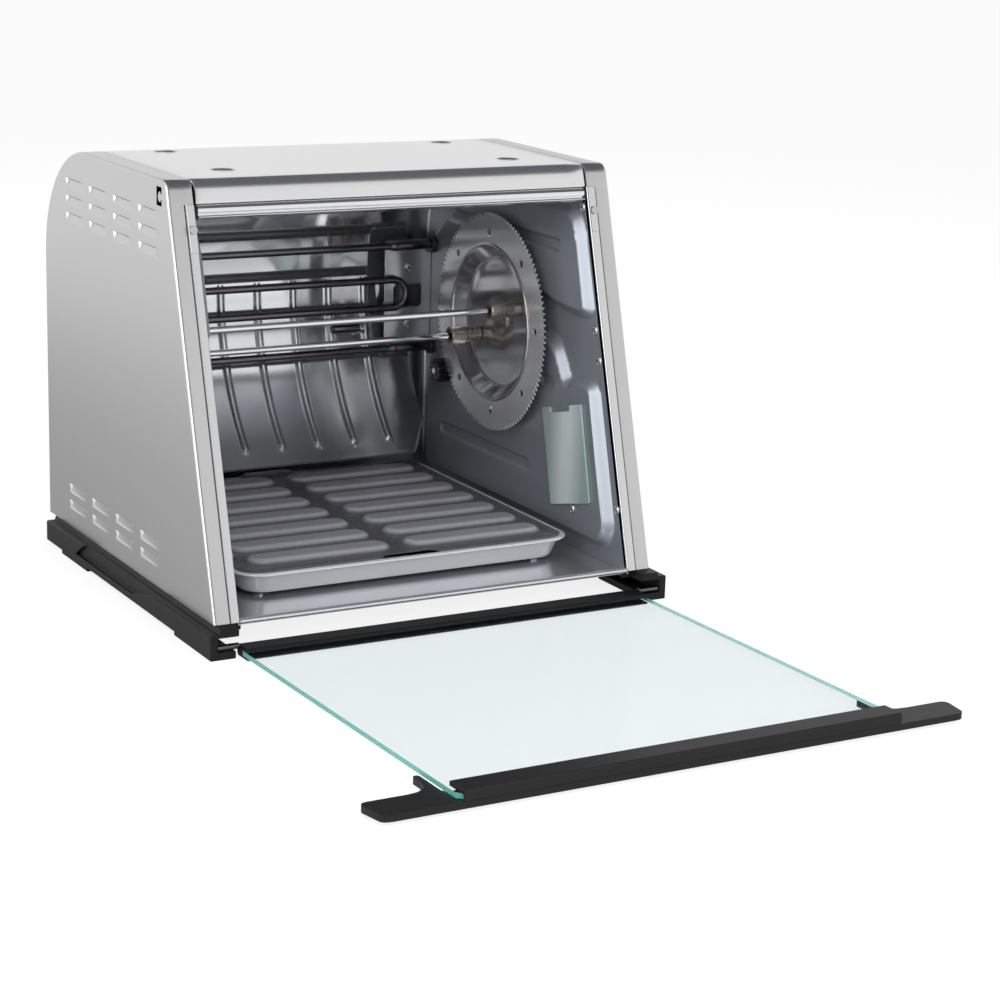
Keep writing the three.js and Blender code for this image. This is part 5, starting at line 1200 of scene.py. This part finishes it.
def makeTrayCover():
    # A height field on a rounded rectangle whose rows shorten at the corners: long pressed
    # ridges in two columns, a shallow outline groove, a front notch and a raised rear tab.
    halfX, halfY = tray["halfX"] - trayCap["inset"], tray["halfY"] - trayCap["inset"]
    corner = tray["corner"] - trayCap["inset"]
    base = tray["bottom"] + tray["depth"] + gap + tray["sheet"]
    close = np.array([0.1, 0.6, 1.2])
    v = stations([np.linspace(-halfY, halfY, 170), halfY - close, -halfY + close], 0.3)
    u = np.linspace(-1, 1, 180)
    over = np.maximum(np.abs(v) - (halfY - corner), 0)
    reach = halfX - corner + np.sqrt(np.maximum(corner ** 2 - over ** 2, 0))
    x = u * reach[:, None]
    y = np.broadcast_to(v[:, None], x.shape).copy()
    depth, frontRun, rearRun = trayCap["notchDepth"], trayCap["notchRun"], trayCap["tabRun"]
    notch = np.clip((trayCap["notch"] / 2 - np.abs(x)) / depth, 0, 1)
    y += notch * depth * np.clip((-y - halfY + frontRun) / frontRun, 0, 1)
    y += notch * trayCap["tab"] * np.clip((y - halfY + rearRun) / rearRun, 0, 1)
    z = np.zeros(x.shape)
    halfLong, halfWide = trayCap["length"] / 2, trayCap["width"] / 2
    middle = trayCap["strip"] + halfLong
    for row in range(trayCap["rows"]):
        centre = (row - (trayCap["rows"] - 1) / 2) * trayCap["pitch"]
        along = (np.abs(np.abs(x) - middle) - (halfLong - halfWide)).clip(0)
        distance = halfWide - np.hypot(along, y - centre)
        crown = 1 - (1 - np.clip(distance / trayCap["shoulder"], 0, 1)) ** 1.8
        z = np.maximum(z, trayCap["rise"] * crown)
    border = np.minimum(halfX - np.abs(x), halfY - np.abs(y))
    groove = eased(1 - np.abs(border - trayCap["grooveInset"] + 4) / 1.8)
    z -= trayCap["groove"] * groove * (np.abs(x) > halfX - 30)
    z += 1.6 * eased((y - halfY + 12) / 8) * notch
    z -= 0.8 * eased((1.2 - border) / 1.2) * (z < 0.3)
    points = np.stack([x, y + tray["centreY"], z + base], -1)
    place("tray_cover_pressing", [(points.reshape(-1, 3), [gridFaces(*points.shape[:2])])], coverCoat,
          "cover_coat", ["tray_cover"], "tray_cover", facing=(0, 0, 1), wall=trayCap["sheet"])


makeFloorPan()
makeTray()
makeTrayCover()
print("floor and tray made")


# Base rails, controls and gland

for name in [*sideNames.values(), "rear"]:
    roundedCopy(name + "_base_moulding", name + "_base_rail", basePlastic, "black_plastic", 0.8, 3)
roundedCopy("gland_moulding", "cord_gland", basePlastic, "black_plastic", 0.5)

knob = {"radius": 19, "height": 15, "skirt": 22, "skirtHeight": 4, "grip": 9, "shaft": 3}


def makeKnobs():
    # a turned skirt and drum, a raised grip across it, and a pale pointer line on the grip
    base = housing["halfWidth"] + gap
    rim, drum, top, neck = knob["skirt"], knob["radius"], base + knob["height"], base + knob["skirtHeight"]
    skirt = [(0, base), (rim - 0.4, base), (rim, base + 0.5), (rim - 0.2, base + 1.6),
             (drum + 1.2, base + 3.2), (drum, base + 3.8), (drum - 1, neck), (0, neck)]
    shaft = [(0, base - 1.3), (knob["shaft"], base - 1.3), (knob["shaft"], base + 1), (0, base + 1)]
    for name, (y, z) in shaftSpots.items():
        parts = [turned(skirt, (0, y, z), "x", 64), turned(shaft, (0, y, z), "x", 24)]
        grip = roundedBox(knob["grip"] / 2, drum - 0.3, knob["grip"] / 2, (y, z), 8)
        pointer = roundedBox(0.7, 5.5, 0.7, (y, z + drum - 7.5), 4)
        place(name + "_knob_grip", parts + prism([grip], base + 2, top, "x"), basePlastic, "black_plastic",
              [name + "_knob"], name + "_knob", bevel=0.7, segments=3)
        place(name + "_knob_pointer", prism([pointer], top - 0.2, top + 0.05, "x"), ceramicWhite,
              "black_plastic", body=name + "_knob")


makeKnobs()


# Door

door = {
    "axis": (-9, 9), "rest": 0.9121276, "halfWidth": 183, "start": 6, "end": 359, "chamfer": 7,
    "drop": 2.5, "thickness": 4, "bevel": 0.6,
}


def layDoor(points):
    # drawn flat with its run along -Y from the hinge axis, then turned to its rest angle
    turn = math.radians(door["rest"])
    points = np.asarray(points, float)
    y, z = points[:, 1], points[:, 2]
    return np.stack([points[:, 0], door["axis"][0] + y * math.cos(turn) + z * math.sin(turn),
                     door["axis"][1] - y * math.sin(turn) + z * math.cos(turn)], -1)


def makeDoor():
    # the pane with its two far corners cut off, and the bars and pins that carry it
    half, start, end, cut = door["halfWidth"], -door["start"], -door["end"], door["chamfer"]
    loop = [(-half, start), (-half, end + cut), (-half + cut, end), (half - cut, end), (half, end + cut),
            (half, start)]
    top = -door["drop"]
    parts = [(layDoor(points), faces)
             for points, faces in prism([roundedLoop(loop, 1.5, 3)], top - door["thickness"], top, "z")]
    place("door_pane", parts, faceGlass, "door_glass", ["door_glass"], "door", bevel=door["bevel"],
          edgeFinish=edgeGlass, upright=(0, 0, 1))
    roundedCopy("hinge_bar_moulding", "hinge_bar", basePlastic, "black_plastic", 0.6)
    roundedCopy("top_bar_moulding", "handle_top_bar", handlePlastic, "black_handle", 0.8, 3)
    roundedCopy("lower_bar_moulding", "handle_lower_bar", handlePlastic, "black_handle", 0.9, 3)
    for name in sideNames.values():
        roundedCopy(name + "_pin_form", name + "_hinge_pin", elementSteel, "brushed_steel", 0.4)


makeDoor()
print("door made")


# Floor, world and lamps

studio = {
    "floorHalf": 9.0, "floorColour": "#f6f6f6", "floorGlow": 0.82, "worldLight": 0.8,
    # the oven's shade on the floor in m: its middle, its shares of x and y, and where it starts and ends
    "shade": {"middle": (0, -0.4, 0), "shares": (1, 0.45, 0), "start": 0.3, "end": 1.0, "least": 0.35},
    # name: (place in m, aim in m, width, height, watts, seen in the metal)
    "lamps": {
        "leftSoftbox": ((-2.4, -0.7, 1.0), (0, 0, 0.2), 2.4, 2.0, 30, True),
        "keySoftbox": ((-1.6, -1.7, 2.2), (0, 0, 0.2), 1.8, 1.8, 26, False),
        "fillSoftbox": ((1.9, -1.6, 1.5), (0, 0, 0.15), 1.6, 1.6, 18, False),
        "rimSoftbox": ((0.3, 1.9, 2.2), (0, 0, 0.3), 1.8, 1.2, 12, False),
        "frontSoftbox": ((0.1, -2.0, 0.9), (0, 0.1, 0.15), 1.4, 0.8, 26, False),
    },
    # dark cards that only the metal sees, as a photographer hangs them
    # name: (place in m, aim in m, width, height, colour)
    "cards": {
        "roofCard": ((0.7, 0.4, 1.95), (0.7, 0.4, 0), 3.0, 5.4, "#6c6d70"),
        "lensCard": ((-1.2, -2.75, 1.2), (-0.1, 0, 0.3), 1.5, 2.0, "#2a2b2e"),
    },
}


def stageSheet(name, width, height, material):
    # a flat rectangle about the origin, which isn't part of the object
    mesh = bpy.data.meshes.new(name)
    u, v = width / 2, height / 2
    mesh.from_pydata([(-u, -v, 0), (u, -v, 0), (u, v, 0), (-u, v, 0)], [], [(0, 1, 2, 3)])
    mesh.materials.append(material)
    sheet = bpy.data.objects.new(name, mesh)
    bpy.context.scene.collection.objects.link(sheet)
    return sheet


def seenBackground(tree, path):
    # 1 on rays that show the pale background: from the camera, and by way of metal or glass
    seen = path["Is Camera Ray"]
    for ray in ("Is Glossy Ray", "Is Transmission Ray"):
        seen = addNode(tree, "ShaderNodeMath", {0: seen, 1: path[ray]}, operation="MAXIMUM").outputs[0]
    return seen


def makeFloor():
    # A matt white floor that glows by a share on the rays that show the background. The metal
    # sees it darker close to the oven and behind it, in the oven's own shade.
    material, tree = emptyMaterial("paleStudioFloor")
    shade = studio["shade"]
    path = addNode(tree, "ShaderNodeLightPath").outputs
    share = addNode(tree, "ShaderNodeMath", {
        0: seenBackground(tree, path), 1: studio["floorGlow"]}, operation="MULTIPLY").outputs[0]
    matt = addNode(tree, "ShaderNodeBsdfDiffuse", {"Color": hexToLinear(studio["floorColour"])}).outputs[0]
    spot = addNode(tree, "ShaderNodeTexCoord").outputs["Object"]
    spread = addNode(tree, "ShaderNodeMapping", {
        "Vector": spot, "Location": shade["middle"], "Scale": shade["shares"]}).outputs[0]
    reach = addNode(tree, "ShaderNodeVectorMath", {0: spread}, operation="LENGTH").outputs["Value"]
    level = addNode(tree, "ShaderNodeMapRange", {
        "Value": reach, "From Min": shade["start"], "From Max": shade["end"], "To Min": shade["least"]},
        interpolation_type="SMOOTHSTEP").outputs[0]
    plain = addNode(tree, "ShaderNodeMath", {0: 1.0, 1: path["Is Glossy Ray"]}, operation="SUBTRACT")
    for ray in (plain.outputs[0], path["Is Transmission Ray"]):
        level = addNode(tree, "ShaderNodeMath", {0: level, 1: ray}, operation="MAXIMUM").outputs[0]
    glow = addNode(tree, "ShaderNodeEmission", {"Color": (1, 1, 1, 1), "Strength": level}).outputs[0]
    both = addNode(tree, "ShaderNodeMixShader", {0: share, 1: matt, 2: glow}).outputs[0]
    addNode(tree, "ShaderNodeOutputMaterial", {"Surface": both})
    stageSheet("studioFloor", 2 * studio["floorHalf"], 2 * studio["floorHalf"], material)


def makeWorld():
    # white where it is seen, and a little less as light
    world = bpy.data.worlds.new("studioWorld")
    world.use_nodes = True
    tree = world.node_tree
    tree.nodes.clear()
    path = addNode(tree, "ShaderNodeLightPath").outputs
    strength = addNode(tree, "ShaderNodeMapRange", {
        "Value": seenBackground(tree, path), "To Min": studio["worldLight"]}).outputs[0]
    sky = addNode(tree, "ShaderNodeBackground", {"Color": (1, 1, 1, 1), "Strength": strength}).outputs[0]
    addNode(tree, "ShaderNodeOutputWorld", {"Surface": sky})
    bpy.context.scene.world = world


def aimed(thing, place, aim):
    thing.location = place
    thing.rotation_euler = (Vector(aim) - Vector(place)).to_track_quat("-Z", "Y").to_euler()


def makeLamps():
    for name, (place, aim, width, height, watts, inMetal) in studio["lamps"].items():
        data = bpy.data.lights.new(name, "AREA")
        data.shape = "RECTANGLE"
        data.size, data.size_y, data.energy = width, height, watts
        softbox = bpy.data.objects.new(name, data)
        bpy.context.scene.collection.objects.link(softbox)
        aimed(softbox, place, aim)
        softbox.visible_glossy = inMetal


def makeCards():
    for name, (place, aim, width, height, colour) in studio["cards"].items():
        material, tree = emptyMaterial(name)
        dark = addNode(tree, "ShaderNodeEmission", {"Color": hexToLinear(colour), "Strength": 1.0}).outputs[0]
        addNode(tree, "ShaderNodeOutputMaterial", {"Surface": dark})
        card = stageSheet(name, width, height, material)
        aimed(card, place, aim)
        card.visible_camera = card.visible_diffuse = card.visible_shadow = card.visible_transmission = False


makeFloor()
makeWorld()
makeLamps()
makeCards()
print("studio made")
